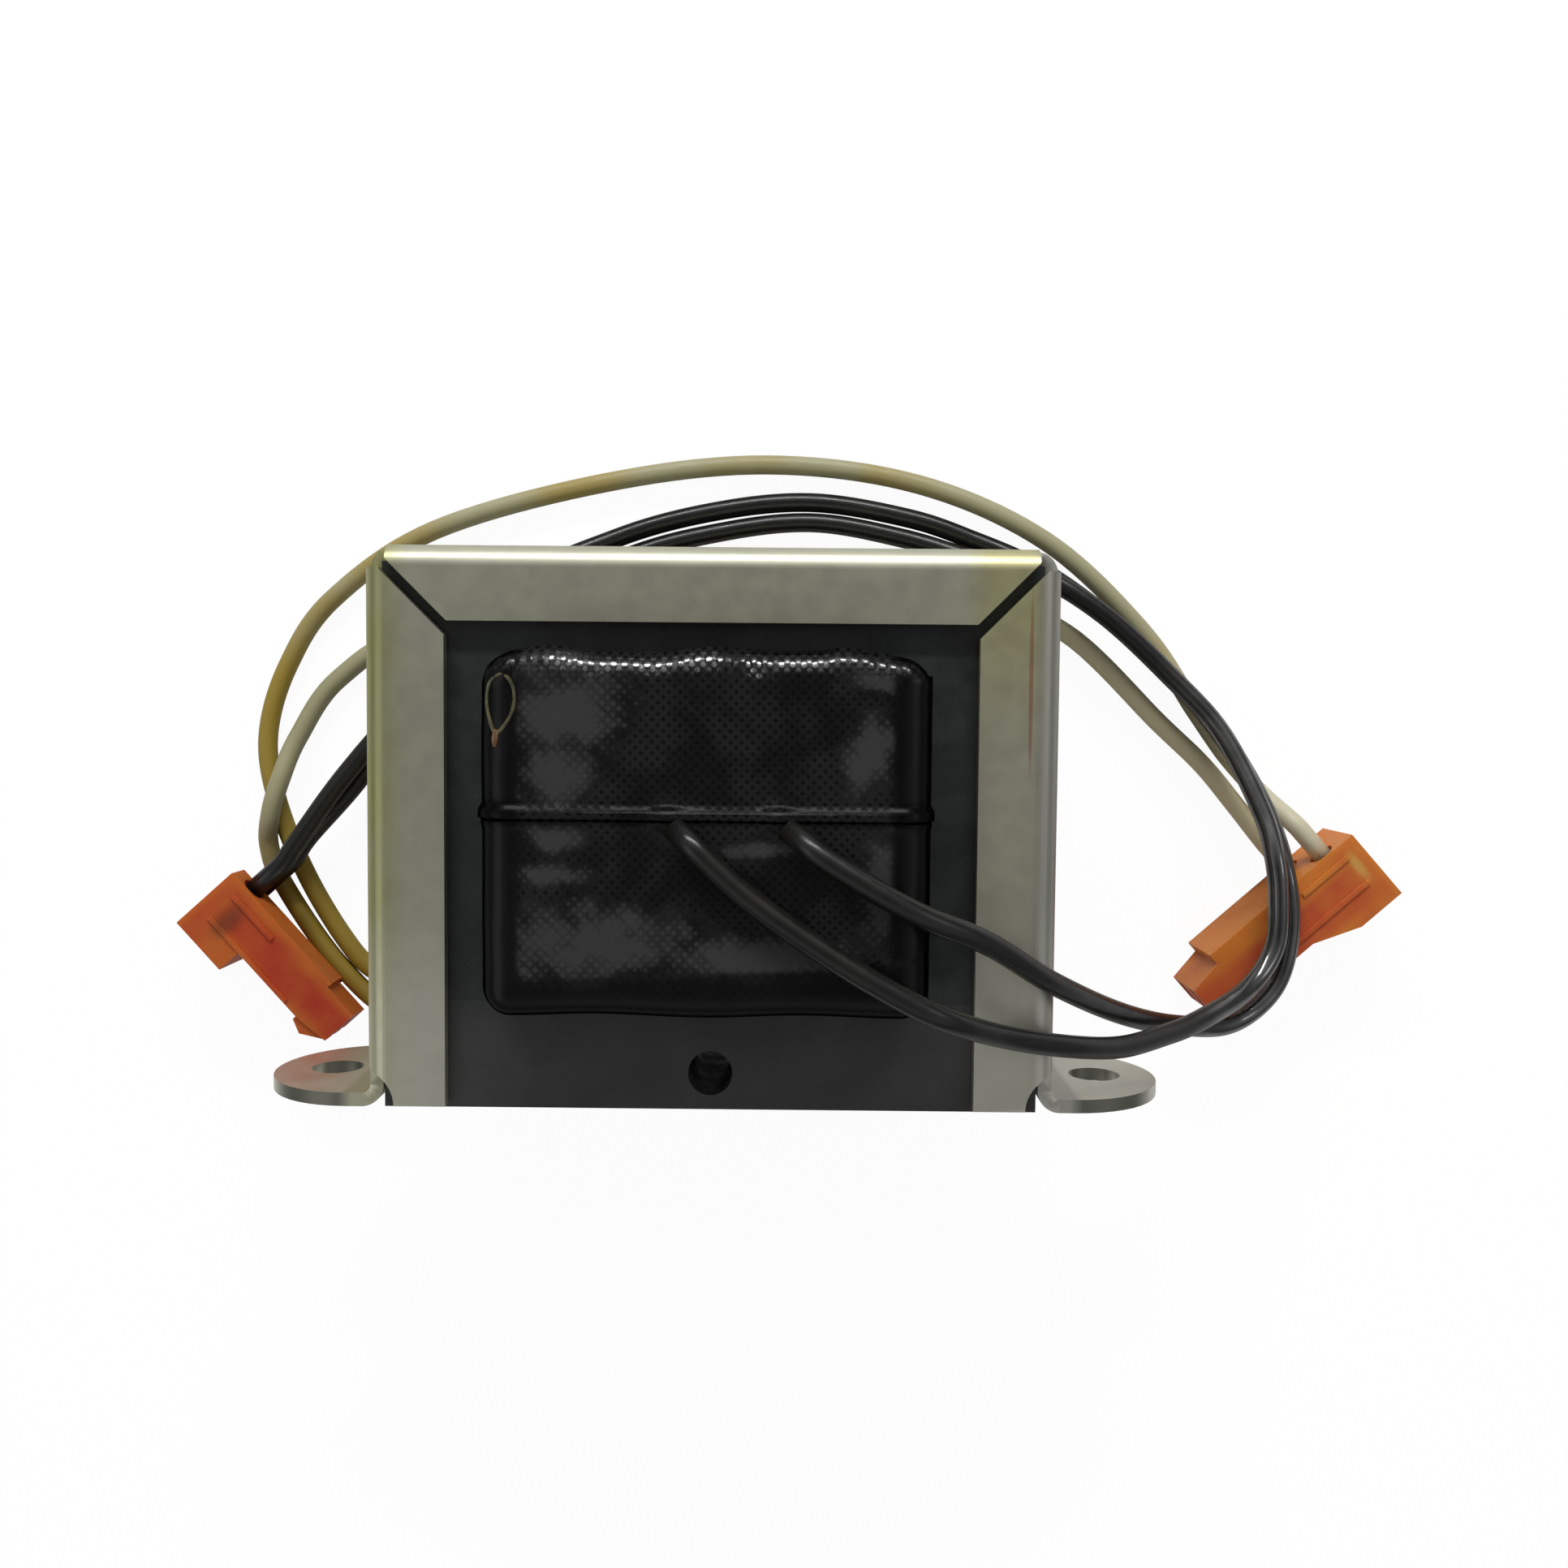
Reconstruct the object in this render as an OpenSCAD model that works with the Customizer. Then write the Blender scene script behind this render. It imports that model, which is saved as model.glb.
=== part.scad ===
// Open-frame mains transformer with flying leads, lying on its back.
// X runs from foot to foot, Y from the feet up to the roof of the frame, and Z out of the front
// of the coil. The rear of the coil rests on Z = 0.

/* [Core] */
// Width of the centre leg of the laminations
tongue_w = 19.05; // [16:0.05:24]
// Width of each outer leg
leg_w = 9.525; // [8:0.025:13]
// Width of each winding window
window_w = 9.525; // [9:0.025:13]
// Height of the winding windows
window_h = 28.575; // [26:0.025:36]
// Depth of each yoke, the back of the E and the I bar alike
yoke_h = 9.525; // [8.5:0.025:13]
// Thickness of one lamination with its varnish
plate_t = 0.635; // [0.6:0.005:0.7]
// Number of lamination layers
plate_n = 30; // [26:1:36]
// Varnish between neighbouring laminations, and at the butt joint of E and I
plate_gap = 0.02; // [0.01:0.01:0.05]
// Diameter of the hole through each yoke
core_hole_d = 3.9; // [2.5:0.1:4.5]
// Distance of that hole's centre from the edge of the core
core_hole_edge = 3.2; // [2.9:0.1:3.6]

/* [Channel frame] */
// Thickness of the frame's sheet steel
sheet_t = 1.2; // [0.8:0.1:1.5]
// Inside radius of every bend
bend_r = 0.8; // [0.5:0.1:1.2]
// Room left between the corners of the core and the bends
corner_clear = 0.02; // [0.02:0.01:0.2]
// Width of the side flanges from the outer face of the frame
side_flange_w = 7.1; // [5.5:0.1:8]
// Width of the roof flanges from the outer face of the frame
roof_flange_w = 6.6; // [5.5:0.1:7]
// Width of the open mitre where two flanges meet
mitre_gap = 1; // [0.4:0.1:1.6]
// Depth of the notch at each end of the roof corners' bends
corner_notch = 1.2; // [0.4:0.1:2]
// Distance that the side flanges end short of the bottom of the core
flange_short = 0.4; // [0.2:0.1:1.5]
// Radius of the relief cut at the foot of each side flange
relief_r = 3.2; // [2.2:0.1:4]
// Distance of the relief's centre outside the frame
relief_out = 0.6; // [0:0.1:1.2]

/* [Feet] */
// Distance of each mounting hole's centre outside the frame
foot_hole_out = 5.69; // [4.8:0.01:7]
// Distance from that centre to the tip of the foot
foot_tip_out = 5.555; // [4.5:0.005:7]
// Diameter of each mounting hole
foot_hole_d = 4.76; // [3.2:0.02:5.2]
// Distance of the underside of the feet below the core
foot_drop = 0.2; // [0:0.1:1.5]

/* [Coil] */
// Distance that the coil stands out of the front and rear faces of the core
bulge = 10; // [9:0.1:12]
// Gap between the coil and the outer legs
coil_gap = 0.65; // [0.4:0.05:1]
// Gap between the coil and the upper yoke
coil_end_gap = 0.15; // [0.1:0.05:0.4]
// Gap between the coil and the lower yoke
coil_low_gap = 1.3; // [0.1:0.05:1.5]
// Clearance between the centre leg and the bobbin
tube_fit = 0.25; // [0.1:0.05:0.5]
// Wall of the bobbin tube
tube_wall = 0.9; // [0.6:0.1:1.2]
// Thickness of the bobbin's end cheeks
cheek_t = 0.8; // [0.5:0.1:1.2]
// Thickness of the bobbin's middle partition
partition_t = 1.2; // [0.8:0.1:2]
// Height of the partition's lower face above the middle of the coil
partition_up = 1.8; // [0:0.1:4]
// Thickness of the cloth wrap round the windings
wrap_t = 1.4; // [1.2:0.1:1.6]
// Radius of the wrap's rounded edges
wrap_edge_r = 2.6; // [2:0.1:3]
// Distance that the wrap stands past the upper end of the coil, over the upper yoke
wrap_lap = 1.9; // [0.5:0.1:2.2]
// Distance that the wrap stands past the lower end of the coil
wrap_low_lap = 0.75; // [0.5:0.05:1]
// Height of the ridge that the partition raises in the wrap
ridge_rise = 0.35; // [0.2:0.05:0.38]
// Width of that ridge
ridge_w = 1.3; // [0.8:0.1:2]
// Clearance between the layers of the coil
coil_fit = 0.1; // [0.05:0.01:0.2]

/* [Leads] */
// Diameter of the leads over their insulation
lead_d = 2; // [1.6:0.05:2.1]
// Clearance round a lead in the wrap
lead_fit = 0.12; // [0.05:0.01:0.2]

/* [Plug and socket] */
// Height of both housings
housing_h = 8; // [7.8:0.1:9]
// Height of the split between the two contact levels
level_split = 4.6; // [4.5:0.05:4.9]
// Height of the upper wire entries
upper_wire_z = 6.2; // [6.1:0.05:6.5]
// Height of the plug's lower wire entry
plug_lower_wire_z = 3.15; // [3.1:0.05:3.25]
// Height of the socket's lower wire entry
socket_lower_wire_z = 2.4; // [2:0.05:2.8]
// Diameter of the wire entries
entry_d = 2.6; // [2.5:0.05:2.8]
// Length of the plug
plug_len = 19.1; // [17:0.1:21]
// Width of the plug's head
plug_head_w = 7.7; // [7:0.1:9]
// Length of the plug's head
plug_head_len = 6.5; // [5.5:0.1:8]
// Width of the plug's body
plug_body_w = 5.1; // [5:0.1:6]
// Set-back of the plug's lower level on the wire side
plug_setback = 1.7; // [1.65:0.05:1.9]
// Length of the plug's nose
plug_nose_len = 3.9; // [3:0.1:4.5]
// Step from the plug's upper level in to its nose
plug_nose_step = 0.6; // [0.3:0.1:1.2]
// Height of the underside of the plug's nose
plug_nose_lift = 1.4; // [0.6:0.1:1.5]
// Height of the plug's latch nib
latch_rise = 1.1; // [0.6:0.1:1.4]
// Length of the socket
socket_len = 22.5; // [20:0.1:25]
// Width of the socket's head
socket_head_w = 7.9; // [7:0.1:9]
// Length of the socket's head before its slope
socket_head_len = 5.3; // [4.5:0.1:6.5]
// Length of the slope from the socket's head to its body
socket_slope_len = 4.9; // [3:0.1:6]
// Width of the socket's body
socket_body_w = 6; // [5.6:0.1:7]
// Length of the socket's nose
socket_nose_len = 3.6; // [2.5:0.1:4.5]
// Step from the socket's body in to its nose
socket_nose_step = 1.2; // [0.6:0.1:1.4]
// Height of the ribs on the tops of the housings
rib_rise = 0.25; // [0.15:0.05:0.5]
// Width of those ribs
rib_w = 0.5; // [0.3:0.05:0.8]
// Thickness of the contact metal
contact_t = 0.4; // [0.3:0.05:0.5]
// Width of the contact blades
contact_w = 2.2; // [1.8:0.1:2.4]
// Diameter of the crimp barrels
barrel_d = 2.2; // [2:0.05:2.3]
// Clearance between a contact and its cavity
contact_fit = 0.15; // [0.1:0.01:0.2]

/* [Hidden] */
$fn = 48;
hull_fn = 24;
// Overshoot of cutting shapes past the faces they cut
over = 1;

// Core
stack = plate_n * plate_t;
core_w = tongue_w + 2 * window_w + 2 * leg_w;
core_h = window_h + 2 * yoke_h;

// Frame
frame_gap = corner_clear + bend_r * (1 - cos(45));
bend_out_r = bend_r + sheet_t;
side_x = core_w / 2 + frame_gap + sheet_t;
overall_h = foot_drop + core_h + frame_gap + sheet_t;
foot_y = -overall_h / 2;
roof_y = overall_h / 2;
core_y0 = foot_y + foot_drop;
core_y1 = core_y0 + core_h;
core_z0 = bulge;
core_z1 = bulge + stack;
rear_z = core_z0 - frame_gap - sheet_t;
front_z = core_z1 + frame_gap + sheet_t;
foot_w = front_z - rear_z - 2 * bend_out_r;
foot_hole_x = side_x + foot_hole_out;
foot_tip_x = foot_hole_x + foot_tip_out;
mid_z = (core_z0 + core_z1) / 2;

// Coil
window_y0 = core_y0 + yoke_h;
window_y1 = core_y1 - yoke_h;
coil_y0 = window_y0 + coil_low_gap;
coil_y1 = window_y1 - coil_end_gap;
coil_hw = tongue_w / 2 + window_w - coil_gap;
coil_z1 = core_z1 + bulge;
tube_hw = tongue_w / 2 + tube_fit + tube_wall;
tube_hd = stack / 2 + tube_fit + tube_wall;
winding_hw = coil_hw - wrap_t - coil_fit;
winding_hd = coil_z1 / 2 - wrap_t - coil_fit;
partition_y = (coil_y0 + coil_y1) / 2 + partition_up;
tube_corner_r = 1;
winding_corner_r = 2;
face_clear = 0.1;

// Plug and socket: place of the end corner on the wire side, heading of the long axis, and the
// distance of each wire entry from the end
plug_at = [-50.2, -6.5];
plug_heading = -48;
socket_at = [64, -1.5];
socket_heading = -138.5;
plug_wire_u = 2.5;
socket_upper_wire_u = 3.3;
socket_lower_wire_u = 6.2;
contact_n = 3.4;
barrel_n0 = 1.9;
barrel_len = 2.8;
contact_end = 1;
rib_margin = 1.8;
short_rib_len = 6;

// Routes of the leads from the coil to the housings. They start in the wrap, just below the
// ridge at the front and in the left flank at the rear, and lie on the table at table_z.
front_start_y = partition_y - 0.5;
sunk_z = coil_z1 + 0.15;
lain_z = coil_z1 + 1.1;
flank_x = 0.5 - coil_hw;
table_z = 1.05;
lead_steps = 3;
black_a_route = [
    [-2.5, front_start_y, sunk_z], [-0.7, front_start_y - 1.7, lain_z - 0.02], [3.4, -4.2, lain_z],
    [8.6, -7.9, lain_z], [13.8, -11.1, lain_z], [coil_hw + 0.7, -13.9, coil_z1 + 0.35],
    [coil_hw + 6.7, -16.5, front_z + 4.2], [side_x + 1.3, -18.2, front_z + 0.1], [36.5, -19.2, 26.4],
    [41, -19.1, 22.6], [45.7, -18.5, 18.6], [51.8, -16.4, 13.7], [55.1, -12.6, 11.7], [55.5, -7.6, 11.4],
    [55.1, -3.2, 10.9], [54.3, 1.1, 9], [51, 8.8, 5.9], [45.7, 14.6, 5.3], [38.9, 20.7, 5.3],
    [32.3, 24.8, 4.3], [25.5, 26.7, 2.2], [18.2, 28.9, table_z], [8.8, 30.4, table_z],
    [-0.9, 29.3, table_z], [-10.9, 26.5, 1.3], [-22, 20.4, 4], [-32.8, 10.8, 5.05], [-39.3, 3.6, 5.1],
    [-44.2, -3.4, 5.8]
];
black_b_route = [
    [6.5, front_start_y, sunk_z], [9.1, front_start_y - 2.1, lain_z - 0.02], [16.5, -5.2, lain_z],
    [coil_hw + 4.6, -8.2, front_z + 6.7], [side_x - 0.5, -12.5, front_z + 1.5], [37.5, -16.9, 23.2],
    [44.8, -19.6, 15.5], [51.1, -20.1, 11.8], [55.8, -16.8, 10], [57.4, -11.2, 9.45], [56.8, -5, 9.2],
    [55.3, 1.3, 6.6], [51.5, 8.8, 3.7], [46.3, 14.7, 3.2], [39.4, 20.8, 3.2], [32.7, 25.6, 2],
    [25.6, 28.8, table_z], [18.8, 31, table_z], [8.8, 32.5, table_z], [-1.3, 31.5, table_z],
    [-11.7, 28.6, 1.3], [-22.6, 22.9, 3.15], [-33.3, 11.2, 2.8], [-38.4, 3.3, 2.75], [-43.9, -3.1, 3]
];
cream_a_route = [
    [flank_x, coil_y0 + 9.01, 4.8], [flank_x - 2.7, coil_y0 + 6.31, 4.4], [-27.3, -14.5, 2.5],
    [-33.4, -18.3, 1.45], [-37.6, -17.7, table_z], [-41, -14, table_z], [-45.1, -6.9, table_z],
    [-48.1, 1.1, table_z], [-48.8, 7.8, table_z], [-46.6, 15, table_z], [-41.8, 22, table_z],
    [-31, 29.3, table_z], [-13, 34.4, table_z], [4, 36.4, table_z], [20, 34.5, table_z],
    [33.5, 28.7, table_z], [43.8, 19.4, table_z], [49.7, 11, table_z], [52.9, 6.5, table_z],
    [56.3, 2.3, 2.7]
];
cream_b_route = [
    [flank_x, coil_y0 + 5.01, 4.8], [flank_x - 2.7, coil_y0 + 2.11, 4.4], [-27.6, -18.7, 2.4],
    [-34.9, -22.1, table_z], [-41.3, -17.2, table_z], [-47.3, -8.5, table_z], [-48.6, -4.3, 1.75],
    [-47.9, -0.8, 3.2], [-46.9, 2.8, 3.1], [-45.4, 7.4, 1.6], [-41.2, 13.6, table_z], [-32, 18.8, table_z],
    [-11, 21.6, table_z], [11, 22.1, table_z], [26, 22.3, table_z], [35.9, 19, table_z],
    [45.9, 9.6, table_z], [50.6, 5.2, table_z], [54.2, 0.9, 1.2]
];

// Vector helpers
// Point at share t of the way from b to c on the curve through the way points a, b, c and d
function knot(a, b, c, d, t) =
    0.5 * (2 * b + (c - a) * t + (2 * a - 5 * b + 4 * c - d) * t * t + (3 * b - a - 3 * c + d) * t * t * t);

// Point no lower than a lead that lies on the table
function on_table(p) = [p[0], p[1], max(p[2], table_z)];

// Line of a limp lead through way points, straight where it leaves the coil and where it is crimped
function limp_line(p) = let (n = len(p)) concat(
    [p[0]],
    [for (i = [1 : n - 3], s = [0 : lead_steps - 1])
        on_table(knot(p[i - 1], p[i], p[i + 1], p[i + 2], s / lead_steps))],
    [p[n - 2], p[n - 1]]
);

function unit(v) = v / norm(v);
function polar_arc(c, r, a0, a1, n) =
    [for (i = [0:n]) let (a = a0 + (a1 - a0) * i / n) [c[0] + r * cos(a), c[1] + r * sin(a)]];

// Point of a housing in the model's frame: u along its length, n in from its wire side
function plug_point(u, n, z) = let (c = cos(plug_heading), s = sin(plug_heading))
    [plug_at[0] + u * c + n * s, plug_at[1] + u * s - n * c, z];
function socket_point(u, n, z) = let (c = cos(socket_heading), s = sin(socket_heading))
    [socket_at[0] + u * c - n * s, socket_at[1] + u * s + n * c, z];

// Leads with their last straight stretch into the housings
lead_run_in = 3.5;
black_a_path = limp_line(concat(black_a_route,
    [plug_point(plug_wire_u, -lead_run_in, upper_wire_z),
     plug_point(plug_wire_u, barrel_n0, upper_wire_z)]));
black_b_path = limp_line(concat(black_b_route,
    [plug_point(plug_wire_u, -lead_run_in, plug_lower_wire_z),
     plug_point(plug_wire_u, barrel_n0, plug_lower_wire_z)]));
cream_a_path = limp_line(concat(cream_a_route,
    [socket_point(socket_upper_wire_u, -lead_run_in, upper_wire_z),
     socket_point(socket_upper_wire_u, barrel_n0, upper_wire_z)]));
cream_b_path = limp_line(concat(cream_b_route,
    [socket_point(socket_lower_wire_u, -lead_run_in, socket_lower_wire_z),
     socket_point(socket_lower_wire_u, barrel_n0, socket_lower_wire_z)]));

// Tangent of a path at point i, and a set of side vectors that turn as little as possible
function tangent(p, i) = unit(p[min(i + 1, len(p) - 1)] - p[max(i - 1, 0)]);
function turned(v, t) = unit(v - (v * t) * t);
function side_vectors(p) =
    [for (i = 0, v = turned([0, 0, 1], tangent(p, 0)); i < len(p);
          i = i + 1, v = turned(v, tangent(p, min(i, len(p) - 1)))) v];

// Round tube of diameter d swept along the points of a path
module swept_tube(path, d, sides = 8) {
    rings = len(path);
    side = side_vectors(path);
    points = [for (i = [0:rings - 1]) let (t = tangent(path, i), b = cross(t, side[i]))
        for (j = [0:sides - 1])
            path[i] + d / 2 * (cos(360 * j / sides) * side[i] + sin(360 * j / sides) * b)];
    walls = [for (i = [0:rings - 2], j = [0:sides - 1])
        let (a = i * sides + j, b = i * sides + (j + 1) % sides)
            each [[a, a + sides, b + sides], [a, b + sides, b]]];
    start = [for (j = [0:sides - 1]) j];
    finish = [for (j = [sides - 1:-1:0]) (rings - 1) * sides + j];
    polyhedron(points, concat([start], walls, [finish]));
}

// Cylinder from point a through point b, as long as given
module cylinder_along(a, b, d, h) {
    v = b - a;
    translate(a)
        rotate([0, acos(v[2] / norm(v)), atan2(v[1], v[0])])
            cylinder(d = d, h = h);
}

// Extrusion along Y, from y0 to y1, of a profile drawn in X and Z
module along_y(y0, y1) {
    translate([0, y1, 0])
        rotate([90, 0, 0])
            linear_extrude(y1 - y0)
                children();
}

// Profile in X and Z, centred on the coil, with rounded corners
module coil_profile(half_w, half_d, r) {
    cx = half_w - r;
    cz = half_d - r;
    translate([0, mid_z])
        polygon(concat(
            polar_arc([cx, cz], r, 0, 90, 6), polar_arc([-cx, cz], r, 90, 180, 6),
            polar_arc([-cx, -cz], r, 180, 270, 6), polar_arc([cx, -cz], r, 270, 360, 6)));
}

// Channel frame: one folded sheet

// Section of the folded channel: web on the right at X = 0, flanges running to the left
module channel_section(z0, z1, flange_w) {
    rear = [-bend_out_r, z0 + bend_out_r];
    front = [-bend_out_r, z1 - bend_out_r];
    polygon(concat(
        [[-flange_w, z0]],
        polar_arc(rear, bend_out_r, -90, 0, 10), polar_arc(front, bend_out_r, 0, 90, 10),
        [[-flange_w, z1], [-flange_w, z1 - sheet_t]], polar_arc(front, bend_r, 90, 0, 10),
        polar_arc(rear, bend_r, 0, -90, 10), [[-flange_w, z0 + sheet_t]]));
}

// Everything on one side of the open mitre at the right-hand corner, at the flanges only
module mitre_waste(keep_roof) {
    reach = 3 * side_flange_w;
    for (z = [rear_z - over, front_z - bend_out_r])
        translate([side_x, roof_y, z])
            rotate([0, 0, 45])
                translate([-reach, keep_roof ? -reach : -mitre_gap / 2, 0])
                    cube([2 * reach, reach + mitre_gap / 2, bend_out_r + over]);
}

// Right-hand side: web with two flanges, mitred at the top and relieved at the foot
module frame_side() {
    difference() {
        translate([side_x, 0, 0])
            along_y(core_y0 + flange_short, roof_y - bend_out_r)
                channel_section(rear_z, front_z, side_flange_w);
        mitre_waste(false);
        for (z = [rear_z - over, front_z - bend_out_r])
            translate([side_x + relief_out, core_y0 + flange_short, z])
                cylinder(r = relief_r, h = bend_out_r + over);
        translate([side_x - bend_out_r, foot_y, rear_z + bend_out_r])
            cube([bend_out_r + over, bend_out_r, foot_w]);
    }
}

// Roof: web with two flanges, mitred at both ends
module frame_roof() {
    roof_hw = side_x - bend_out_r;
    difference() {
        translate([0, roof_y, 0])
            rotate([0, 0, 90])
                along_y(-roof_hw, roof_hw)
                    channel_section(rear_z, front_z, roof_flange_w);
        mitre_waste(true);
        mirror([1, 0, 0])
            mitre_waste(true);
    }
}

// Quarter bend about an axis along Z, over the flat width of the web less a notch at each end
module web_bend(x, y, a0, notch = 0) {
    translate([x, y, rear_z + bend_out_r + notch])
        rotate([0, 0, a0])
            rotate_extrude(angle = 90)
                translate([bend_r, 0])
                    square([sheet_t, foot_w - 2 * notch]);
}

// Foot on the right: the web runs on below the flanges and turns out into a round-ended ear
module foot() {
    bend_y = foot_y + bend_out_r;
    ear_x0 = side_x + bend_r;
    half_w = foot_w / 2;
    tip_r = min(half_w, foot_tip_x - ear_x0);
    tip_z = half_w - tip_r;
    translate([side_x - sheet_t, bend_y, rear_z + bend_out_r])
        cube([sheet_t, 2 * relief_r, foot_w]);
    web_bend(ear_x0, bend_y, 180);
    difference() {
        along_y(foot_y, foot_y + sheet_t)
            polygon(concat([[ear_x0, mid_z + half_w], [ear_x0, mid_z - half_w]],
                polar_arc([foot_tip_x - tip_r, mid_z - tip_z], tip_r, -90, 0, 12),
                polar_arc([foot_tip_x - tip_r, mid_z + tip_z], tip_r, 0, 90, 12)));
        translate([foot_hole_x, foot_y - over, mid_z])
            rotate([-90, 0, 0])
                cylinder(d = foot_hole_d, h = sheet_t + 2 * over);
    }
}

module channel_frame() {
    color([0.56, 0.56, 0.5]) {
        frame_roof();
        for (hand = [0, 1])
            mirror([hand, 0, 0]) {
                frame_side();
                web_bend(side_x - bend_out_r, roof_y - bend_out_r, 0, corner_notch);
                foot();
            }
    }
}

// Laminations

// Outline of an E with its back at the bottom of the core
module e_outline() {
    difference() {
        translate([-core_w / 2, core_y0])
            square([core_w, yoke_h + window_h - plate_gap]);
        for (side = [-1, 1])
            translate([side * (tongue_w + window_w) / 2 - window_w / 2, window_y0])
                square([window_w, window_h + over]);
        translate([0, core_y0 + core_hole_edge])
            circle(d = core_hole_d);
    }
}

// Outline of an I bar at the top of the core
module i_outline() {
    difference() {
        translate([-core_w / 2, window_y1])
            square([core_w, yoke_h]);
        translate([0, core_y1 - core_hole_edge])
            circle(d = core_hole_d);
    }
}

// Layers of an outline, every other one turned over end for end
module interleaved() {
    for (i = [0:plate_n - 1])
        translate([0, 0, core_z0 + i * plate_t])
            linear_extrude(plate_t - plate_gap)
                if (i % 2 == 0)
                    children();
                else
                    translate([0, core_y0 + core_y1])
                        mirror([0, 1])
                            children();
}

module e_laminations() {
    color([0.17, 0.19, 0.19])
        interleaved()
            e_outline();
}

module i_laminations() {
    color([0.2, 0.22, 0.22])
        interleaved()
            i_outline();
}

// Coil

module bobbin() {
    color([0.25, 0.2, 0.16])
        difference() {
            union() {
                along_y(coil_y0, coil_y1)
                    coil_profile(tube_hw, tube_hd, tube_corner_r);
                for (level = [[coil_y0, cheek_t], [partition_y, partition_t], [coil_y1 - cheek_t, cheek_t]])
                    along_y(level[0], level[0] + level[1])
                        coil_profile(winding_hw, winding_hd, winding_corner_r);
            }
            translate([-tongue_w / 2 - tube_fit, coil_y0 - over, core_z0 - tube_fit])
                cube([tongue_w + 2 * tube_fit, coil_y1 - coil_y0 + 2 * over, stack + 2 * tube_fit]);
        }
}

// One winding between two cheeks of the bobbin
module winding(y0, y1) {
    color([0.72, 0.4, 0.2])
        difference() {
            along_y(y0 + coil_fit, y1 - coil_fit)
                coil_profile(winding_hw, winding_hd, winding_corner_r);
            along_y(y0, y1)
                coil_profile(tube_hw + coil_fit, tube_hd + coil_fit, tube_corner_r);
        }
}

module upper_winding() {
    winding(partition_y + partition_t, coil_y1 - cheek_t);
}

module lower_winding() {
    winding(coil_y0 + cheek_t, partition_y);
}

// Block with its edges rounded at the far end in Y and along Y, flat at the near end
module soft_block(near_y, far_y, half_w, z0, z1) {
    r = wrap_edge_r;
    hand = far_y > near_y ? 1 : -1;
    hull()
        for (x = [r - half_w, half_w - r], z = [z0 + r, z1 - r]) {
            translate([x, far_y - hand * r, z])
                sphere(r, $fn = hull_fn);
            translate([x, near_y, z])
                rotate([-90 * hand, 0, 0])
                    cylinder(r = r, h = abs(far_y - near_y) - r, $fn = hull_fn);
        }
}

// Cloth wrap from the partition out to one end of the coil: a band through the windows that
// turns in over the end of the coil where it stands out of the core
module wrap(near_y, far_y, lap) {
    hand = far_y > near_y ? 1 : -1;
    lap_y = far_y + hand * lap;
    difference() {
        union() {
            soft_block(near_y, far_y, coil_hw, 0, coil_z1);
            soft_block(near_y, lap_y, coil_hw, core_z1 + face_clear - wrap_edge_r, coil_z1);
            soft_block(near_y, lap_y, coil_hw, 0, core_z0 - face_clear + wrap_edge_r);
        }
        along_y(min(near_y - hand * over, far_y + hand * coil_fit),
                max(near_y - hand * over, far_y + hand * coil_fit))
            coil_profile(winding_hw + coil_fit, winding_hd + coil_fit, winding_corner_r);
        translate([-coil_hw - over, min(far_y, lap_y) - (hand > 0 ? 0 : over), core_z0 - face_clear])
            cube([2 * (coil_hw + over), abs(lap_y - far_y) + over, stack + 2 * face_clear]);
    }
}

// Grooves where the leads come out of the wrap
module lead_grooves() {
    for (route = [black_a_route, black_b_route, cream_a_route, cream_b_route])
        cylinder_along(route[0], route[1], lead_d + 2 * lead_fit, 2 * lead_d);
}

module upper_wrap() {
    color([0.1, 0.1, 0.1])
        difference() {
            union() {
                wrap(partition_y, coil_y1, wrap_lap);
                ridge();
            }
            lead_grooves();
        }
}

// Ridge that the partition raises round the coil, but not under its flat rear face
module ridge() {
    difference() {
        along_y(partition_y, partition_y + ridge_w)
            coil_profile(coil_hw + ridge_rise, coil_z1 / 2 + ridge_rise, wrap_edge_r);
        along_y(partition_y - over, partition_y + ridge_w + over)
            coil_profile(coil_hw - wrap_t / 2, coil_z1 / 2 - wrap_t / 2, wrap_edge_r);
        translate([-core_w / 2, partition_y - over, -core_w])
            cube([core_w, ridge_w + 2 * over, core_w]);
    }
}

module lower_wrap() {
    color([0.1, 0.1, 0.1])
        difference() {
            wrap(partition_y - coil_fit, coil_y0, wrap_low_lap);
            lead_grooves();
        }
}

// Leads

module black_lead_a() {
    color([0.08, 0.08, 0.08]) swept_tube(black_a_path, lead_d);
}

module black_lead_b() {
    color([0.08, 0.08, 0.08]) swept_tube(black_b_path, lead_d);
}

module cream_lead_a() {
    color([0.8, 0.75, 0.58]) swept_tube(cream_a_path, lead_d);
}

module cream_lead_b() {
    color([0.8, 0.75, 0.58]) swept_tube(cream_b_path, lead_d);
}

// Plug and socket, drawn with their length along X and their wire side on the X axis

module place_plug() {
    translate([plug_at[0], plug_at[1], 0])
        rotate([0, 0, plug_heading])
            mirror([0, 1, 0])
                children();
}

module place_socket() {
    translate([socket_at[0], socket_at[1], 0])
        rotate([0, 0, socket_heading])
            children();
}

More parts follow.
